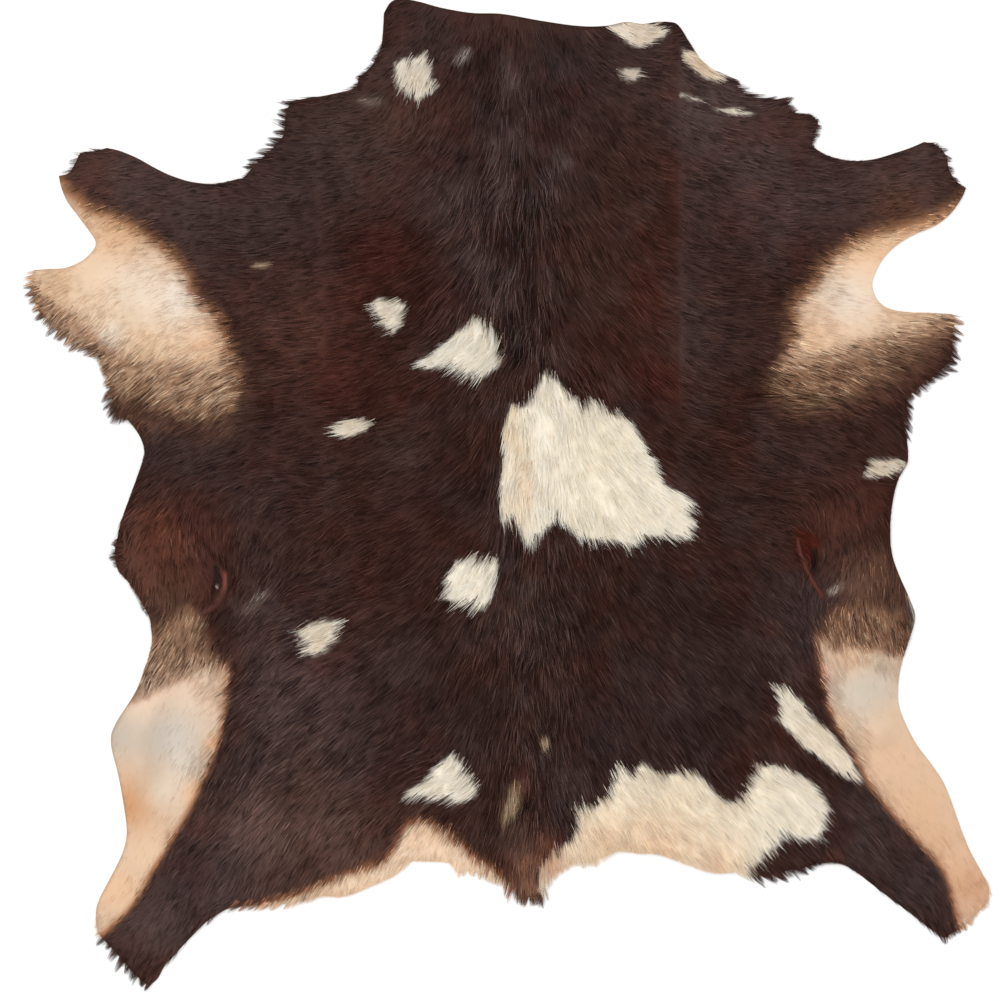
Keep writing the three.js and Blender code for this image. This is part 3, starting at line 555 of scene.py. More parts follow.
# Cream spots: raggedness in mm, share of cream hair and the outline. Small ones are mixed with dark hair.
spotRows = {
    "neck": (4, 0.8, [
        (395, 60), (410, 57), (427, 51), (430, 60), (433, 68), (432, 78), (440, 84), (438, 92), (428, 98),
        (418, 101), (405, 97), (397, 92), (393, 78), (393, 70)]),
    "neck's top": (4, 0.85, [
        (603, 26), (625, 20), (645, 21), (664, 25), (674, 30), (664, 38), (654, 45), (641, 50), (630, 47),
        (622, 41), (613, 34)]),
    "neck's right": (4, 0.72, [
        (613, 70), (630, 67), (640, 68), (645, 72), (638, 80), (630, 84), (622, 80), (617, 75)]),
    "right neck's edge": (3, 0.9, [
        (682, 49), (696, 50), (706, 58), (718, 70), (732, 79), (722, 84), (706, 81), (691, 70), (683, 60)]),
    "upper streak": (2.5, 0.52, [(677, 93), (690, 95), (706, 100), (704, 105), (688, 101), (677, 97)]),
    "lower streak": (3, 0.7, [
        (700, 107), (715, 109), (730, 106), (757, 112), (746, 118), (730, 116), (714, 112)]),
    "left back": (3.5, 0.93, [
        (370, 300), (380, 296), (390, 298), (400, 300), (410, 308), (407, 315), (405, 325), (398, 333),
        (392, 337), (388, 330), (380, 325), (375, 315), (370, 308)]),
    "triangle": (3, 1.0, [
        (477, 315), (470, 318), (460, 328), (450, 337), (440, 345), (430, 353), (420, 358), (412, 365),
        (415, 369), (425, 370), (440, 368), (450, 370), (460, 375), (470, 380), (478, 382), (485, 378),
        (495, 372), (501, 366), (502, 358), (499, 345), (497, 335), (494, 325), (488, 328), (482, 322)]),
    "left flank": (3.5, 0.9, [
        (330, 425), (345, 418), (360, 416), (370, 420), (372, 425), (368, 432), (355, 437), (345, 439),
        (332, 437)]),
    "saddle": (4, 1.0, [
        (545, 368), (540, 377), (535, 385), (532, 395), (525, 405), (515, 402), (510, 400), (508, 410),
        (502, 425), (500, 440), (502, 462), (498, 480), (498, 500), (499, 515), (500, 528), (505, 525),
        (512, 520), (515, 525), (520, 532), (521, 540), (525, 547), (531, 549), (535, 545), (540, 540),
        (545, 533), (557, 520), (560, 525), (568, 532), (572, 537), (580, 540), (590, 543), (598, 542),
        (605, 545), (615, 543), (625, 546), (635, 548), (645, 541), (658, 538), (668, 540), (680, 540),
        (690, 542), (693, 535), (697, 522), (690, 513), (698, 508), (694, 498), (682, 491), (672, 488),
        (665, 482), (660, 470), (656, 458), (650, 448), (643, 438), (638, 428), (633, 420), (625, 415),
        (620, 410), (612, 412), (605, 405), (598, 400), (590, 397), (582, 405), (578, 395), (568, 395),
        (563, 385), (556, 375), (550, 377)]),
    "loin": (5, 1.0, [
        (440, 582), (450, 565), (455, 560), (462, 558), (470, 552), (480, 556), (490, 558), (499, 556),
        (500, 565), (498, 590), (492, 603), (485, 610), (478, 612), (470, 608), (460, 608), (452, 603),
        (443, 600)]),
    "left haunch": (6, 0.92, [
        (286, 628), (300, 627), (311, 620), (330, 616), (345, 619), (339, 632), (344, 640), (334, 645),
        (331, 652), (312, 658), (300, 653), (305, 643), (296, 637)]),
    "left of the tail": (5, 1.0, [
        (435, 762), (450, 752), (458, 755), (465, 768), (475, 780), (479, 790), (478, 798), (465, 803),
        (455, 805), (445, 802), (430, 800), (412, 799), (405, 795), (407, 788), (415, 783), (425, 778)]),
    "right belly's edge": (3, 0.7, [
        (870, 457), (885, 458), (902, 456), (908, 468), (897, 475), (880, 478), (868, 480), (862, 478),
        (865, 470)]),
    "right hip": (5, 0.93, [
        (768, 682), (785, 686), (795, 692), (808, 705), (815, 715), (823, 722), (832, 730), (840, 740),
        (848, 750), (855, 762), (862, 775), (866, 787), (850, 783), (840, 777), (830, 772), (820, 762),
        (810, 752), (800, 750), (795, 742), (788, 733), (780, 725), (766, 714), (778, 712), (775, 700),
        (770, 690)]),
    "right rump": (5, 1.0, [
        (537, 868), (546, 856), (560, 846), (570, 838), (575, 828), (573, 805), (580, 803), (592, 806),
        (600, 801), (607, 790), (610, 780), (615, 772), (618, 762), (625, 766), (632, 773), (640, 757),
        (648, 762), (655, 768), (668, 771), (695, 769), (708, 780), (720, 795), (735, 800), (745, 790),
        (750, 778), (755, 765), (775, 762), (790, 768), (800, 772), (812, 777), (822, 793), (828, 800),
        (830, 808), (825, 822), (825, 830), (822, 840), (812, 843), (800, 842), (790, 838), (783, 842),
        (775, 848), (768, 855), (762, 862), (755, 870), (752, 895), (700, 890), (650, 872), (600, 875),
        (535, 897)]),
}

# Casts over the pale places: x, y, reach on the plan, strength and colour.
castRows = [
    (175, 300, 30, 0.75, (236, 226, 214)), (135, 282, 30, 0.75, (226, 210, 192)),
    (112, 335, 14, 0.6, (236, 226, 214)), (118, 228, 34, 0.7, (208, 162, 120)),
    (60, 285, 26, 0.5, (214, 176, 138)), (95, 300, 26, 0.4, (232, 206, 176)),
    (192, 291, 5, 0.9, (172, 84, 62)), (210, 345, 26, 0.5, (230, 190, 154)),
    (150, 345, 30, 0.5, (226, 196, 160)), (175, 262, 14, 0.5, (232, 190, 146)),
    (848, 300, 32, 0.85, (222, 210, 196)), (870, 248, 34, 0.6, (230, 190, 150)),
    (930, 222, 26, 0.6, (218, 170, 130)), (810, 340, 24, 0.5, (228, 190, 154)),
    (850, 335, 30, 0.4, (228, 194, 160)), (910, 320, 30, 0.4, (226, 196, 162)),
    # The grey row at (122, 735) is painted shade at the left hind roll's edge, where the skin turns down.
    (172, 735, 32, 0.85, (197, 190, 180)), (122, 735, 26, 0.8, (180, 170, 156)),
    (150, 690, 26, 0.6, (230, 200, 176)), (200, 690, 22, 0.5, (228, 204, 184)),
    (130, 805, 30, 0.9, (196, 142, 98)), (213, 745, 9, 0.7, (226, 172, 124)),
    (196, 795, 14, 0.7, (226, 176, 132)), (186, 764, 18, 0.6, (210, 202, 190)),
    (164, 790, 20, 0.6, (220, 206, 188)), (150, 850, 22, 0.5, (228, 192, 158)),
    (115, 890, 26, 0.6, (226, 182, 142)), (858, 692, 36, 0.85, (196, 186, 171)),
    (885, 690, 22, 0.6, (190, 179, 164)), (850, 655, 18, 0.5, (228, 188, 150)),
    (826, 672, 8, 0.5, (232, 190, 172)), (838, 722, 9, 0.6, (230, 186, 144)),
    (890, 760, 34, 0.7, (212, 174, 142)), (895, 715, 18, 0.4, (210, 178, 146)),
    (920, 815, 38, 0.7, (208, 166, 128)), (965, 885, 30, 0.7, (200, 146, 106)),
    (415, 78, 22, 0.5, (200, 184, 168)), (629, 75, 16, 0.7, (194, 174, 154)),
    (640, 34, 30, 0.65, (208, 188, 168)), (704, 66, 26, 0.7, (206, 176, 142)),
    (350, 427, 20, 0.5, (214, 196, 174)), (317, 637, 22, 0.5, (212, 192, 168)),
    (390, 316, 20, 0.4, (216, 200, 182)), (885, 467, 24, 0.6, (206, 184, 158)),
    (705, 108, 40, 0.5, (214, 196, 174)), (940, 850, 26, 0.5, (210, 166, 130)),
    (430, 834, 22, 0.5, (232, 196, 158)), (478, 850, 14, 0.6, (196, 126, 88)),
    (330, 893, 40, 0.5, (228, 196, 164)), (400, 856, 24, 0.6, (234, 206, 178)),
    (430, 850, 22, 0.5, (232, 204, 176)), (690, 800, 90, 0.4, (240, 216, 184)),
    (820, 740, 40, 0.4, (232, 210, 184)), (600, 845, 40, 0.6, (232, 196, 158)),
    (660, 852, 40, 0.6, (230, 192, 152)), (720, 868, 30, 0.6, (232, 196, 160)),
    (560, 868, 20, 0.5, (226, 184, 146)), (545, 860, 14, 0.8, (188, 128, 88)),
    (538, 880, 10, 0.6, (200, 158, 122)), (510, 408, 12, 0.5, (240, 212, 168)),
    (508, 432, 13, 0.5, (240, 212, 168)), (521, 448, 9, 0.4, (236, 202, 160)),
    (525, 466, 9, 0.4, (234, 196, 156)), (526, 484, 9, 0.4, (232, 192, 152)),
    (525, 502, 9, 0.4, (232, 192, 154)), (522, 520, 9, 0.35, (234, 198, 162)),
    (508, 470, 12, 0.35, (240, 214, 176)), (510, 505, 12, 0.3, (240, 214, 178)),
    (600, 450, 40, 0.3, (242, 228, 198)), (600, 520, 40, 0.2, (240, 224, 190)),
]

border = {
    "patchStray": 6.0,  # most mm that a ragged hair strays over the outline of a patch
    "spotStray": 1.7,  # times a spot's own raggedness, as are spread and inset
    "spotSpread": 0.6,
    "spotInset": 0.5,
    "mixedTip": 0.85,  # share of a mixed place's colour at the tips
    "castPale": (0.3, 0.9),  # how pale a place is where casts begin and where they are full
}
cream = {"root": (239, 223, 197), "tip": (255, 250, 238)}
darkCoat = {
    "base": (59, 31, 23),
    "tipLight": 1.2,  # times the root's light
    "red": (76, 29, 18),
    "redShare": 0.3,
    "redLayers": [(1, 30, 21), (0.5, 12, 22)],  # of noise: amount, pitch in mm and seed
    # Painted grey sheen in soft patches: its colour, share and noise.
    "grey": (92, 76, 74),
    "sheenGreyShare": 0.14,
    "sheenGreyLayers": [(1, 26, 23), (0.5, 10, 24)],
    "lightLayers": [(0.12, 16, 25), (0.03, 7, 26)],
}

# Painted sheen: the greyer strip right of the storage crease, where the light changes at the fold. Its
# crease and ends on the plan, and its share of grey.
sheenStrip = {
    "crease": 679,
    "top": 30,
    "foot": 420,
    "share": 0.22,
    "begin": 2.0,  # mm, as are the next three
    "width": 60.0,
    "topFade": 20.0,
    "footFade": 60.0,
}


# Sum of amount * softNoise over the layers.
def layered(places, layers):
    return sum(amount * softNoise(places, pitch, seed) for amount, pitch, seed in layers)


# Weighted mean of colours over the places: each row pulls with share * strength * exp(-(d / reach)^2).
def tint(places, colours, rows, share=1.0):
    for x, y, reach, strength, colour in rows:
        gap = places - onHide([(x, y)])
        pull = share * strength * np.exp(-(gap**2).sum(1) / (reach * planUnit) ** 2)
        colours = colours + pull[:, None] * (toLinear(colour) - colours)
    return colours


# How surely each place lies in an outline, 0 to 1: ease of its signed distance, less inset, over the spread.
def within(places, outline, spread, inset=0.0):
    ring = onHide(outline)
    share = np.zeros(len(places))
    near = ((places > ring.min(0) - spread) & (places < ring.max(0) + spread)).all(1)
    if near.any():
        gap, _ = signedDistance(places[near], ring)
        share[near] = ease(gap - inset, -spread, spread)
    return share


# From a start colour over the one half way to the full one, as share goes from 0 to 1. Where the start is
# pale already, the colour half way is the mean of both.
def ramp(start, half, full, share, pale):
    middle = half + pale[:, None] * ((start + full) / 2 - half)
    first = np.clip(2 * share, 0, 1)[:, None]
    second = np.clip(2 * share - 1, 0, 1)[:, None]
    return start + first * (middle - start) + second * (full - middle)


# Share of painted grey sheen in the strip: it begins at the crease, fades out over its width and eases in at
# both ends.
def sheenStripShare(places):
    x, y = places.T
    crease, top = onHide((sheenStrip["crease"], sheenStrip["top"]))
    foot = onHide((sheenStrip["crease"], sheenStrip["foot"]))[1]
    across = ease(x - crease, -sheenStrip["begin"], sheenStrip["begin"]) * ease(crease - x, -sheenStrip["width"], 0)
    below = ease(-y, -top - sheenStrip["topFade"], -top + sheenStrip["topFade"])
    return sheenStrip["share"] * across * ease(y, foot, foot + sheenStrip["footFade"]) * below


# The dark coat's colour: the tones with their painted sheen and shade, the strip's painted sheen, soft red
# patches, soft patches of painted grey sheen and lighter patches.
def darkColours(places):
    base = np.tile(toLinear(darkCoat["base"]), (len(places), 1))
    colours = tint(places, base, toneSheenAndShadeRows)
    redder = darkCoat["redShare"] * np.clip(layered(places, darkCoat["redLayers"]), 0, 1)
    sheenShare = darkCoat["sheenGreyShare"] * np.clip(layered(places, darkCoat["sheenGreyLayers"]), 0, 1)
    sheenShare += sheenStripShare(places)
    colours += redder[:, None] * (toLinear(darkCoat["red"]) - colours)
    colours += sheenShare[:, None] * (toLinear(darkCoat["grey"]) - colours)
    return colours * (1 + layered(places, darkCoat["lightLayers"]))[:, None]


# Root and tip colours of hairs whose seen part is at the places, and how pale they are. ragged moves each
# lookup against the lie of the hair, and dice from 0 to 1 tells one hair from its neighbours. Without
# dice, as on the skin, the spots' colours blend.
def hairColours(places, way, ragged, dice=None):
    root = darkColours(places)
    tip = root * darkCoat["tipLight"]
    pale = np.zeros(len(places))
    for spread, share, vary, half, full, outline in patchRows.values():
        stray = ragged * min(spread, border["patchStray"])
        own = within(places - way * stray[:, None], outline, spread)
        here = own * share
        if dice is not None:
            window = own * (4 * (1 - own) if share == 1 else 1)
            here = np.clip(here + vary * (dice - 0.5) * window, 0, 1)
        atTip = here * (1 if share == 1 else border["mixedTip"])
        root = ramp(root, toLinear(half), toLinear(full), here, pale)
        tip = ramp(tip, toLinear(half), toLinear(full), atTip, pale)
        pale = np.maximum(pale, here)
    for rough, fill, outline in spotRows.values():
        moved = places - way * (ragged * rough * border["spotStray"])[:, None]
        here = fill * within(moved, outline, border["spotSpread"] * rough, border["spotInset"] * rough)
        if dice is not None:
            here = (dice < here).astype(float)
        root += here[:, None] * (toLinear(cream["root"]) - root)
        tip += here[:, None] * (toLinear(cream["tip"]) - tip)
        pale = np.maximum(pale, here)
    cast = ease(pale, *border["castPale"])
    return tint(places, root, castRows, cast), tint(places, tip, castRows, cast), pale


# Grids over the hide, so that each hair reads its values by blending four neighbours.
gridPitch = 3.0
gridLow = np.array([-480.0, -495.0])
gridSize = (321, 331)
gridX, gridY = np.meshgrid(np.arange(gridSize[0]), np.arange(gridSize[1]), indexing="ij")
gridPlaces = np.column_stack([gridX.ravel(), gridY.ravel()]) * gridPitch + gridLow
lieBlend = {"near": 12.0, "power": 1.7}  # mm within which a row of the lie holds sway, and how fast it fades


# Value at a place: the four grid values round it, each times its share of the cell.
def sample(grid, places):
    p = np.clip((places - gridLow) / gridPitch, 0, np.array(gridSize) - 1.001)
    cell = p.astype(int)
    u, v = (p - cell).T
    i, j = cell.T
    if grid.ndim == 3:
        u, v = u[:, None], v[:, None]
    low = grid[i, j] * (1 - u) + grid[i + 1, j] * u
    high = grid[i, j + 1] * (1 - u) + grid[i + 1, j + 1] * u
    return low * (1 - v) + high * v


# Unit vectors on the floor for headings in radians: (cos, sin).
def heading(turn):
    return np.column_stack([np.cos(turn), np.sin(turn)])


# Lie of the hair on the grid: the rows' values, each weighted by 1 / (d^2 + near^2)^power.
def blendLie():
    lie = np.array(lieRows, float)
    values = np.column_stack([heading(np.radians(lie[:, 2])), lie[:, 3:]])
    total = np.zeros((len(gridPlaces), 4))
    weights = np.zeros(len(gridPlaces))
    for place, value in zip(onHide(lie[:, :2]), values):
        gap = ((gridPlaces - place) ** 2).sum(1)
        weight = 1 / (gap + lieBlend["near"] ** 2) ** lieBlend["power"]
        total += weight[:, None] * value
        weights += weight
    return (total / weights[:, None]).reshape(*gridSize, 4)


gridGap, gridSide = signedDistance(gridPlaces, edge[:, :2])
gapGrid = gridGap.reshape(gridSize)
fringeGrid = edge[gridSide, 2].reshape(gridSize)
fringeWay = heading(np.radians(edge[gridSide, 3])).reshape(*gridSize, 2)
liftGrid = liftAt(gridPlaces, gridGap).reshape(gridSize)
lieGrid = blendLie()
print("grids done")


# Heading as a unit vector, length and rise of the hair at the places, each from the grid.
def hairLie(places):
    values = sample(lieGrid, places)
    return values[:, :2] / np.hypot(*values[:, :2].T)[:, None], values[:, 2], values[:, 3]


# A mesh object from arrays: places in mm, triangles and a colour for each place.
def makePiece(name, places, triangles, colours, material, smooth):
    mesh = bpy.data.meshes.new(name)
    count = len(triangles)
    mesh.vertices.add(len(places))
    mesh.vertices.foreach_set("co", (places * mm).astype(np.float32).ravel())
    mesh.loops.add(3 * count)
    mesh.loops.foreach_set("vertex_index", triangles.astype(np.int32).ravel())
    mesh.polygons.add(count)
    mesh.polygons.foreach_set("loop_start", np.arange(0, 3 * count, 3, dtype=np.int32))
    mesh.polygons.foreach_set("use_smooth", np.full(count, smooth))
    mesh.materials.append(material)
    mesh.update(calc_edges=True)
    layer = mesh.attributes.new("coat", "FLOAT_COLOR", "POINT")
    rgba = np.column_stack([np.clip(colours, 0, 1), np.ones(len(places))])
    layer.data.foreach_set("color", rgba.astype(np.float32).ravel())
    mesh.validate()
    piece = bpy.data.objects.new(name, mesh)
    bpy.context.scene.collection.objects.link(piece)
    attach(piece, "root")
    return piece


# A material whose colour is the piece's own attribute.
def coatMaterial(name, look):
    material = bpy.data.materials.new(name)
    material.use_nodes = True
    nodes = material.node_tree.nodes
    surface = nodes["Principled BSDF"]
    surface.inputs["Roughness"].default_value = look["roughness"]
    surface.inputs["Specular IOR Level"].default_value = look["specular"]
    colour = nodes.new("ShaderNodeAttribute")
    colour.attribute_name = "coat"
    material.node_tree.links.new(colour.outputs["Color"], surface.inputs["Base Color"])
    return material


hairLook = {"roughness": 0.5, "specular": 0.12}
skinLook = {"roughness": 0.85, "specular": 0.2}
hairMaterial = coatMaterial("goatHair", hairLook)
skinMaterial = coatMaterial("tannedSkin", skinLook)


# Points in a staggered grid over a box, in rows 0.866 of the pitch apart, as in equal-sided triangles.
def staggered(pitch, low, high):
    xs = np.arange(low[0], high[0], pitch)
    ys = np.arange(low[1], high[1], pitch * 0.866)
    x, y = np.meshgrid(xs, ys, indexing="ij")
    x = x + (np.arange(len(ys)) % 2) * pitch / 2
    return np.column_stack([x.ravel(), y.ravel()])


# Delaunay triangles, all turned left, of the edge's ring and of points inside it, and their area. Those
# with three corners on the ring may lie outside it and are left out.
def fillRing(ring, inner):
    flat = np.vstack([ring, inner])
    count = len(ring)
    sides = [(i, (i + 1) % count) for i in range(count)]
    out = delaunay_2d_cdt([Vector(p) for p in flat.tolist()], sides, [], 0, 0.001, False)
    faces = np.array(out[2])
    outer = np.flatnonzero((faces < count).all(1))
    gap, _ = signedDistance(flat[faces[outer]].mean(1), ring)
    faces = np.delete(faces, outer[gap < 0], axis=0)
    a, b, c = flat[faces].transpose(1, 0, 2)
    doubled = (b[:, 0] - a[:, 0]) * (c[:, 1] - a[:, 1]) - (b[:, 1] - a[:, 1]) * (c[:, 0] - a[:, 0])
    return flat, np.where(doubled[:, None] < 0, faces[:, ::-1], faces), np.abs(doubled).sum() / 2


# The height of the skin's hair side, with the lips and slits, and at least leastSkin above its flesh side.
def skinTop(places):
    gap = np.maximum(sample(gapGrid, places), 0)
    low = sample(liftGrid, places)
    skin = hide["edgeSkin"] + (hide["skin"] - hide["edgeSkin"]) * ease(gap, 0, hide["edgeSlope"])
    return np.maximum(low + skin + raised(places, lipRows), low + hide["leastSkin"])


# 0 in the bare groins and armpits, where what grows is short, and 1 in the full coat.
def fullness(length):
    return ease(length, *hide["bareLengths"])


# Share of hair left: none on the lips and in the slits, and little in the bare places.
def hairShare(places):
    bare = [toLine(places, line) / halfWidth for halfWidth, _, _, line in lipRows.values()]
    _, length, _ = hairLie(places)
    sparse = hide["leastShare"] + (1 - hide["leastShare"]) * fullness(length)
    return ease(np.min(bare, axis=0), *hide["lipBare"]) * sparse


# Points for the hair side: a staggered grid, closer round the puckers, and clear of the cut edge.
def hairSidePoints(low, high):
    inner = staggered(hide["pitch"], low, high)
    reach = hide["fineReach"]
    fine = []
    for centre in onHide(hide["puckers"]):
        inner = inner[np.hypot(*(inner - centre).T) > reach]
        close = staggered(hide["finePitch"], centre - reach, centre + reach)
        fine.append(close[np.hypot(*(close - centre).T) < reach - 1])
    inner = np.vstack([inner, *fine])
    return inner[sample(gapGrid, inner) > hide["clear"]]


# Colours of the hair side: the hairs' own, with painted shade that makes them darker under the coat than in
# the bare places.
def hairSideColours(places, way, length):
    ragged = layered(places, hide["raggedLayers"])
    root, tip, pale = hairColours(places, way, ragged)
    bare = 1 - fullness(length)
    shade = hide["shade"] + (hide["paleShade"] + hide["bareShade"] * bare) * pale
    fleck = hide["fleck"] + hide["bareFleck"] * bare
    shade *= 1 + fleck * layered(places, hide["fleckLayers"])
    return (root * (1 - hide["tipShare"]) + tip * hide["tipShare"]) * shade[:, None]


# The skin: a fine hair side, a coarse flesh side and a wall between them round the cut edge.
def makeHide():
    ring = edge[:, :2]
    flat, faces, area = fillRing(ring, hairSidePoints(ring.min(0), ring.max(0)))
    coarse = staggered(hide["fleshPitch"], ring.min(0), ring.max(0))
    flesh, fleshFaces, _ = fillRing(ring, coarse[sample(gapGrid, coarse) > hide["fleshClear"]])
    way, length, rise = hairLie(flat)
    full = ease(sample(gapGrid, flat), 0, hide["edgeSlope"]) * hairShare(flat)
    under = hide["underCoat"] * rise * (1 + layered(flat, hide["underLayers"])) * full
    upper = hairSideColours(flat, way, length)
    n, count = len(flat), len(ring)
    this = np.arange(count)
    after = (this + 1) % count
    wall = np.vstack([
        np.column_stack([after, this, this + n]),
        np.column_stack([after, this + n, after + n]),
    ])
    low = liftAt(flesh, np.maximum(sample(gapGrid, flesh), 0))
    low[:count] = 0
    places = np.vstack([np.column_stack([flat, skinTop(flat) + under]), np.column_stack([flesh, low])])
    triangles = np.vstack([faces, fleshFaces[:, ::-1] + n, wall])
    suede = toLinear(hide["suede"]) * (1 + layered(flesh, hide["suedeLayers"]))[:, None]
    piece = makePiece("hide", places, triangles, np.vstack([upper, suede]), skinMaterial, True)
    print("hide:", len(triangles), "triangles, flat area", round(area * mm**2, 3))
    return piece, area * mm**2


hidePiece, hideArea = makeHide()
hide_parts("goatskin")


coat = {
    "pitch": 1.5,  # mm between hairs' roots
    "fromEdge": 0.3,  # mm from the cut edge to the first roots
    "sunk": 0.3,  # mm of a root in the skin
    "width": 0.76,
    "bareWidth": 0.3,
    "bareLengths": (8.0, 12.5),  # mm of hair that grows thin, and of the full width
    "backLengths": (20.0, 27.0),  # mm of hair off the back, and on it
    "crest": 0.42,  # a hair's height as a share of its width
    "bareRise": 0.4,  # share of its rise in the bare places
    "overhang": 10.0,  # mm past the cut edge where a tip has come down to the floor
    "floorTip": 0.5,  # mm from the floor to such a tip, which also keeps floorRise of its rise
    "floorRise": 0.3,
    "lengthVary": (0.6, 1.2),
    "widthVary": (0.7, 1.25),
    "riseVary": (0.45, 1.35),
    "fringeVary": (0.85, 0.35),  # share of the fringe's reach, and how much clumps differ in it
    "slack": 0.5,  # mm past the fringe
    "shortest": 0.06,  # least share of a hair kept in one step of holding it back
    "span": 500.0,  # mm from the middle of the groups' lattices to their sides
    "jitter": (0.1, 0.9),
    "strand": 2.7,  # mm between the middles of strands, clumps and locks
    "clump": 7.5,
    "lock": 17.0,
    "strandGather": 0.6,
    "gather": 0.3,
    "edgeGather": 0.8,
    "edgeReach": (2.0, 20.0),  # mm from the cut edge with all of edgeGather and with none
    "edgeTurn": 0.7,  # share of the fringe's heading in the hair by the edge
    "turnReach": (4.0, 26.0),
    "fringeLengths": (1.5, 4.0),  # mm of fringe that turns nothing, and all
    "waver": 6.0,  # degrees
    "sweepLayers": [(1.6, 28, 41), (0.8, 11, 42)],  # times waver, as are the next five
    "lockSweep": 0.8,
    "hairSway": 1.1,
    "clumpSway": 1.0,
    "strandSway": 1.2,
    "clumpSwayOfStrand": 0.6,
    "groupLength": 0.16,  # how much clumps and strands differ in length
    "groupRise": 0.25,
}


# The nearest of a jittered lattice's points to each place, and six random numbers of that point.
def clumpsOf(places, pitch, seed):
    rng = np.random.default_rng(seed)
    half = int(coat["span"] / pitch) + 2
    last = 2 * half - 1
    jitter = rng.uniform(*coat["jitter"], (2 * half, 2 * half, 2))
    traits = rng.uniform(-1, 1, (2 * half, 2 * half, 6))
    cell = np.floor(places / pitch).astype(int) + half
    best = np.full(len(places), 1e9)
    centre = np.zeros_like(places)
    own = np.zeros((len(places), 6))
    for di in (-1, 0, 1):
        for dj in (-1, 0, 1):
            i = np.clip(cell[:, 0] + di, 0, last)
            j = np.clip(cell[:, 1] + dj, 0, last)
            middle = (np.stack([i, j], 1) - half + jitter[i, j]) * pitch
            gap = ((places - middle) ** 2).sum(1)
            nearer = gap < best
            best[nearer] = gap[nearer]
            centre[nearer] = middle[nearer]
            own[nearer] = traits[i, j][nearer]
    return centre, own


# 1 by the hairy stretches of the cut edge, falling to 0 from near to far mm inside it.
def nearFringe(places, near, far):
    fringe = sample(fringeGrid, places)
    return ease(-sample(gapGrid, places), -far, -near) * ease(fringe, *coat["fringeLengths"])


# Heading in radians, length and rise of the hair, turned towards the edge's own locks near them.
def lieAt(places):
    way, length, rise = hairLie(places)
    turned = coat["edgeTurn"] * nearFringe(places, *coat["turnReach"])
    way = way + turned[:, None] * (sample(fringeWay, places) - way)
    return np.arctan2(way[:, 1], way[:, 0]), length, rise


# Roots on a jittered lattice inside the cut edge, thinned to the share of hair left.
def plantRoots(rng):
    pitch = coat["pitch"]
    xs = np.arange(edge[:, 0].min(), edge[:, 0].max(), pitch)
    ys = np.arange(edge[:, 1].min(), edge[:, 1].max(), pitch)
    x, y = np.meshgrid(xs, ys, indexing="ij")
    root = np.column_stack([x.ravel(), y.ravel()])
    root += rng.uniform(0, pitch, root.shape)
    root = root[sample(gapGrid, root) > coat["fromEdge"]]
    return root[rng.uniform(0, 1, len(root)) < hairShare(root)]


# Tips of the hairs: root + way * length, drawn by gather towards the tips of their strand and their clump.
def layTips(rng, root, turn, length, back, groups):
    (centre, clump), (_, lock), (knot, strand) = groups
    clumpTurn, clumpLength, _ = lieAt(centre)
    strandTurn, strandLength, _ = lieAt(knot)
    waver = np.radians(coat["waver"]) * (1 + back)
    sweep = waver * (layered(root, coat["sweepLayers"]) + coat["lockSweep"] * lock[:, 0])
    turn = turn + sweep + waver * coat["hairSway"] * rng.standard_normal(len(root))
    clumpTurn = clumpTurn + sweep + waver * coat["clumpSway"] * clump[:, 0]
    sway = coat["clumpSwayOfStrand"] * clump[:, 0] + coat["strandSway"] * strand[:, 0]
    strandTurn = strandTurn + sweep + waver * sway
    longer = 1 + coat["groupLength"] * clump[:, 1]
    length = length * rng.uniform(*coat["lengthVary"], len(root)) * longer
    strandLength = strandLength * (longer + coat["groupLength"] * strand[:, 2])
    near = nearFringe(root, *coat["edgeReach"])
    gather = coat["gather"] + (coat["edgeGather"] - coat["gather"]) * near
    strandTip = knot + heading(strandTurn) * strandLength[:, None]
    clumpTip = centre + heading(clumpTurn) * (clumpLength * longer)[:, None]
    tip = root + heading(turn) * length[:, None]
    tip += coat["strandGather"] * (strandTip - tip)
    tip += gather[:, None] * (clumpTip - tip)
    return holdBack(root, tip, clump[:, 2]), length


# Tips drawn back along their hairs, in three steps, until they pass the cut edge by no more than its fringe.
def holdBack(root, tip, vary):
    gap = sample(gapGrid, root)
    share, differ = coat["fringeVary"]
    for _ in range(3):
        tipGap = sample(gapGrid, tip)
        allowed = sample(fringeGrid, tip) * (share + differ * vary) + coat["slack"]
        kept = np.where(-tipGap > allowed, (gap + allowed) / np.maximum(gap - tipGap, 0.01), 1)
        tip = root + (tip - root) * np.clip(kept, coat["shortest"], 1)[:, None]
    return tip


# Long closed spikes of three sides: three points round the root and one at the tip. Past the cut edge the
# tips come down to the floor.
def spikes(root, tip, way, width, rise):
    low = skinTop(root) - coat["sunk"]
    tipZ = skinTop(tip) + rise
    over = ease(-sample(gapGrid, tip), 0, coat["overhang"])
    tipZ += over * (coat["floorTip"] + coat["floorRise"] * rise - tipZ)
    side = np.column_stack([-way[:, 1], way[:, 0]]) * (width / 2)[:, None]
    left = np.column_stack([root + side, low])
    right = np.column_stack([root - side, low])
    crest = np.column_stack([root, low + width * coat["crest"]])
    return np.stack([left, right, crest, np.column_stack([tip, tipZ])], 1)


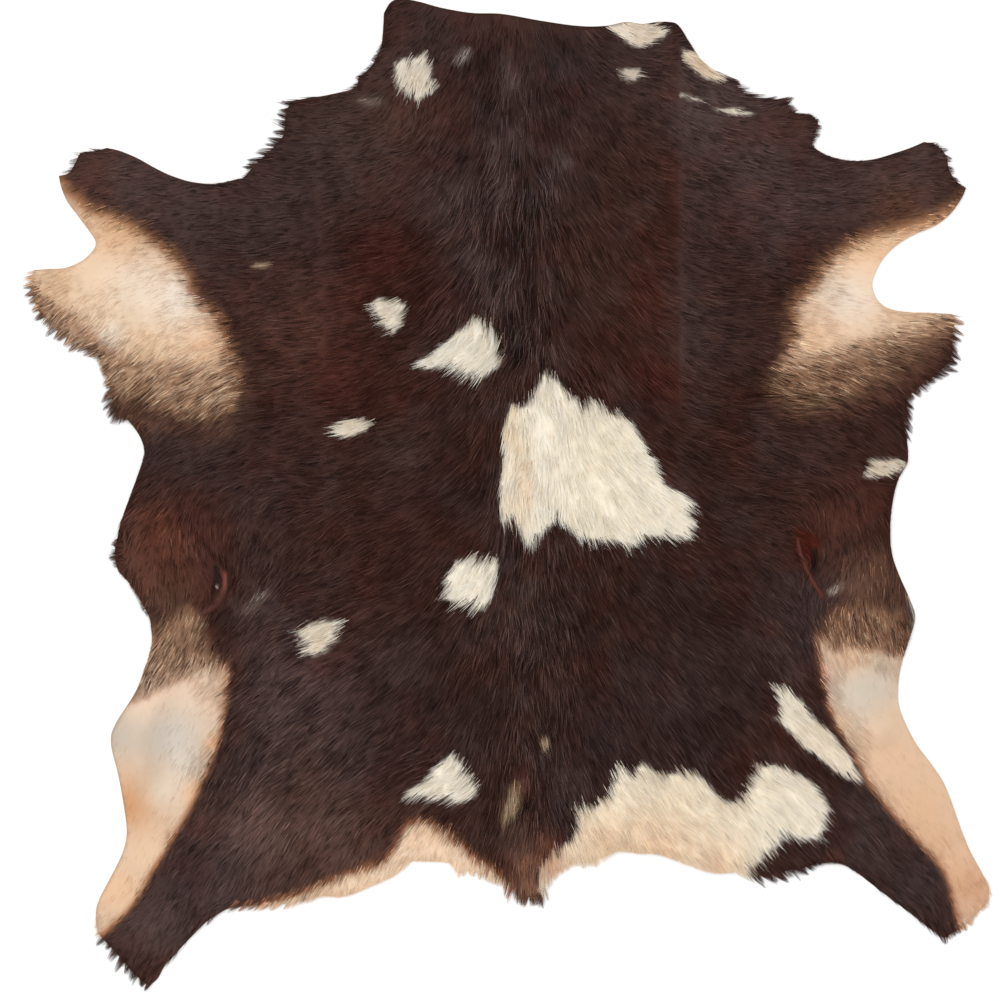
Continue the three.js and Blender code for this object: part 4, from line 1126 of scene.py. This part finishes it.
coatLight = {
    "seenAt": 0.6,  # share of a hair's reach where its colour is looked up
    "ragged": (0.25, 0.35, 0.55),  # how much clump, strand and hair count
    "dice": (0.05, 0.25, 0.22),
    "light": (0.35, 0.5, 1.3, 1.6),  # how much clump, lock, strand and hair count
    "mostLight": (4.0, 1.8),  # in an even place, and how much less in a mixed one
    "contrast": 0.36,  # spread of the dark hairs' brightness
    "backContrast": 1.1,
    "shortContrast": 0.6,
    "shortLengths": (12.0, 19.0),
    "haunch": (275, 740),
    "haunchReach": 120,  # on the plan
    "haunchContrast": 0.8,
    "paleContrast": 0.09,
    "barePale": 0.3,  # share of it in the bare places
    "paleLengths": (10.0, 15.0),
    "mixedContrast": 0.22,
    "darkLift": 0.4,  # share of the lighter half of the contrast that dark hairs show
    "bareLift": 0.2,  # more light on the bare places' hairs
    "bareLengths": (9.0, 14.0),
    "sheen": 0.028,  # grey light on the brighter hairs
    "backSheen": 0.06,
    "haunchSheen": 0.03,
    "sheenPower": 1.6,
    "sheenMost": 3.0,  # light above which the sheen grows no more
    "sheenTone": (150, 130, 124),
    "rootSheen": 0.6,  # share of the tip's
    "rootShade": (0.8, 0.14),  # of a dark hair, and how much more on a pale one
    "warm": (0.08, 0.05),  # how much dark hairs differ in warmth, and how much less pale ones do
    "warmWay": (1, 0.2, -0.8),  # in red, green and blue
}


# Brightness and sheen of each hair: e^(spread * light), and sheen * light^sheenPower on the brighter ones.
def hairLight(root, length, back, pale, light):
    short = 1 - ease(length, *coatLight["shortLengths"])
    away = np.hypot(*(root - onHide(coatLight["haunch"])).T) / (coatLight["haunchReach"] * planUnit)
    haunch = coatLight["haunchContrast"] * np.exp(-away**2)
    mixed = 4 * pale * (1 - pale)
    more = coatLight["backContrast"] * back + coatLight["shortContrast"] * short + haunch
    spread = coatLight["contrast"] * (1 + more) * (1 - pale) + coatLight["mixedContrast"] * mixed
    least = coatLight["barePale"]
    full = least + (1 - least) * ease(length, *coatLight["paleLengths"])
    spread += coatLight["paleContrast"] * pale * full
    most, less = coatLight["mostLight"]
    light = np.minimum(light, most - less * mixed)
    lift = coatLight["darkLift"] + (1 - coatLight["darkLift"]) * pale
    shade = np.exp(spread * np.where(light < 0, light, lift * light))
    shade *= 1 + coatLight["bareLift"] * pale * (1 - ease(length, *coatLight["bareLengths"]))
    sheen = coatLight["sheen"] + coatLight["backSheen"] * back + coatLight["haunchSheen"] * haunch
    brighter = np.clip(light, 0, coatLight["sheenMost"])
    return shade, sheen * (1 - pale) * brighter ** coatLight["sheenPower"]


# Weighted sum of arrays.
def mix(weights, parts):
    return sum(weight * part for weight, part in zip(weights, parts))


# Colours of the four points of each hair.
def colourHairs(rng, root, seen, way, length, back, groups):
    (_, clump), (_, lock), (_, strand) = groups
    n = len(root)
    ragged = mix(coatLight["ragged"], (clump[:, 4], strand[:, 4], rng.uniform(-1, 1, n)))
    dice = 0.5 + mix(coatLight["dice"], (clump[:, 5], strand[:, 5], rng.uniform(-1, 1, n)))
    rootColour, tipColour, pale = hairColours(seen, way, ragged, np.clip(dice, 0.001, 0.999))
    light = mix(coatLight["light"], (clump[:, 1], lock[:, 1], strand[:, 3], rng.standard_normal(n)))
    shade, sheen = hairLight(root, length, back, pale, light)
    dark, paler = coatLight["rootShade"]
    rootColour = rootColour * (shade * (dark + paler * pale))[:, None]
    tipColour = tipColour * shade[:, None]
    sheenTone = toLinear(coatLight["sheenTone"])
    rootColour += coatLight["rootSheen"] * sheen[:, None] * (sheenTone - rootColour)
    tipColour += sheen[:, None] * (sheenTone - tipColour)
    most, less = coatLight["warm"]
    warm = 1 + (most - less * pale)[:, None] * rng.uniform(-1, 1, (n, 1)) * coatLight["warmWay"]
    colours = np.repeat((rootColour * warm)[:, None], 4, axis=1)
    colours[:, 3] = tipColour * warm
    return colours


# The coat's hairs: their roots, the four points of each and the colours of those.
def growHairs(seed):
    rng = np.random.default_rng(seed)
    root = plantRoots(rng)
    n = len(root)
    groups = [clumpsOf(root, coat[name], seed + i) for i, name in ((1, "clump"), (2, "lock"), (3, "strand"))]
    clump = groups[0][1]
    turn, length, rise = lieAt(root)
    back = ease(length, *coat["backLengths"])
    tip, length = layTips(rng, root, turn, length, back, groups)
    reach = np.hypot(*(tip - root).T)
    way = (tip - root) / np.maximum(reach, 0.01)[:, None]
    full = ease(length, *coat["bareLengths"])
    width = coat["bareWidth"] + (coat["width"] - coat["bareWidth"]) * full
    width = width * rng.uniform(*coat["widthVary"], n)
    rise = rise * (coat["bareRise"] + (1 - coat["bareRise"]) * full) * rng.uniform(*coat["riseVary"], n)
    rise = rise * (1 + coat["groupRise"] * clump[:, 3]) * np.clip(reach / length, 0.2, 1)
    seen = root + way * (coatLight["seenAt"] * reach)[:, None]
    colours = colourHairs(rng, root, seen, way, length, back, groups)
    return root, spikes(root, tip, way, width, rise), colours


# The hairs in six pieces: three rows of as many hairs each, and each row halved at its middle.
def makeHairPieces(root, places, colours):
    spikeFaces = np.array([(0, 2, 3), (1, 3, 2), (0, 3, 1), (0, 1, 2)])
    row = np.digitize(root[:, 1], np.quantile(root[:, 1], [1 / 3, 2 / 3]))
    pieces = []
    for rank, name in enumerate(("hind", "middle", "fore")):
        cut = np.median(root[row == rank, 0])
        for side, chosen in (("Left", root[:, 0] <= cut), ("Right", root[:, 0] > cut)):
            mine = (row == rank) & chosen
            starts = 4 * np.arange(int(mine.sum()))[:, None, None]
            triangles = (spikeFaces + starts).reshape(-1, 3)
            points, tones = places[mine].reshape(-1, 3), colours[mine].reshape(-1, 3)
            pieces.append(makePiece(name + side + "Hair", points, triangles, tones, hairMaterial, False))
            print(pieces[-1].name, len(triangles), "triangles")
    return pieces


root, places, colours = growHairs(7)
print("hairs:", len(root))
hairPieces = makeHairPieces(root, places, colours)

studio = {
    "floor": (250, 250, 250),
    "floorSize": 12.0,  # m
    "roughness": 0.9,
    "specular": 0.1,
    "world": 0.85,
    "sun": 1.3,
    "sunSpread": 50.0,  # degrees
    "sunWay": (0.5, -0.45, -1.0),
    "lens": 200.0,  # mm, as is the sensor
    "sensor": 36.0,
    "middle": (500, 500.5),  # on the plan, as is tall
    "tall": 1001,
    "farthest": 50.0,  # m
}


# The plain floor, which isn't part of the rug.
def makeFloor():
    bpy.ops.mesh.primitive_plane_add(size=studio["floorSize"])
    floor = bpy.context.object
    floor.name = "floor"
    material = bpy.data.materials.new("floor")
    material.use_nodes = True
    surface = material.node_tree.nodes["Principled BSDF"]
    surface.inputs["Base Color"].default_value = (*toLinear(studio["floor"]), 1)
    surface.inputs["Roughness"].default_value = studio["roughness"]
    surface.inputs["Specular IOR Level"].default_value = studio["specular"]
    floor.data.materials.append(material)


# Light all round and a wide soft sun.
def makeLights():
    world = bpy.data.worlds.new("studio")
    world.use_nodes = True
    background = world.node_tree.nodes["Background"]
    background.inputs["Color"].default_value = (1, 1, 1, 1)
    background.inputs["Strength"].default_value = studio["world"]
    bpy.context.scene.world = world
    lamp = bpy.data.lights.new("key", "SUN")
    lamp.energy = studio["sun"]
    lamp.angle = np.radians(studio["sunSpread"])
    key = bpy.data.objects.new("key", lamp)
    key.rotation_euler = Vector(studio["sunWay"]).to_track_quat("-Z", "Y").to_euler()
    bpy.context.scene.collection.objects.link(key)


# A long lens straight above: distance = width * lens / sensor.
def makeCamera():
    scene = bpy.context.scene
    camera = bpy.data.objects.new("camera", bpy.data.cameras.new("camera"))
    camera.data.lens = studio["lens"]
    camera.data.sensor_width = studio["sensor"]
    middle = onHide(studio["middle"]) * mm
    tall = studio["tall"] * planUnit * mm
    camera.location = (middle[0], middle[1], tall * studio["lens"] / studio["sensor"])
    camera.data.clip_end = studio["farthest"]
    scene.collection.objects.link(camera)
    scene.camera = camera
    scene.view_settings.view_transform = "Standard"


makeFloor()
makeLights()
makeCamera()
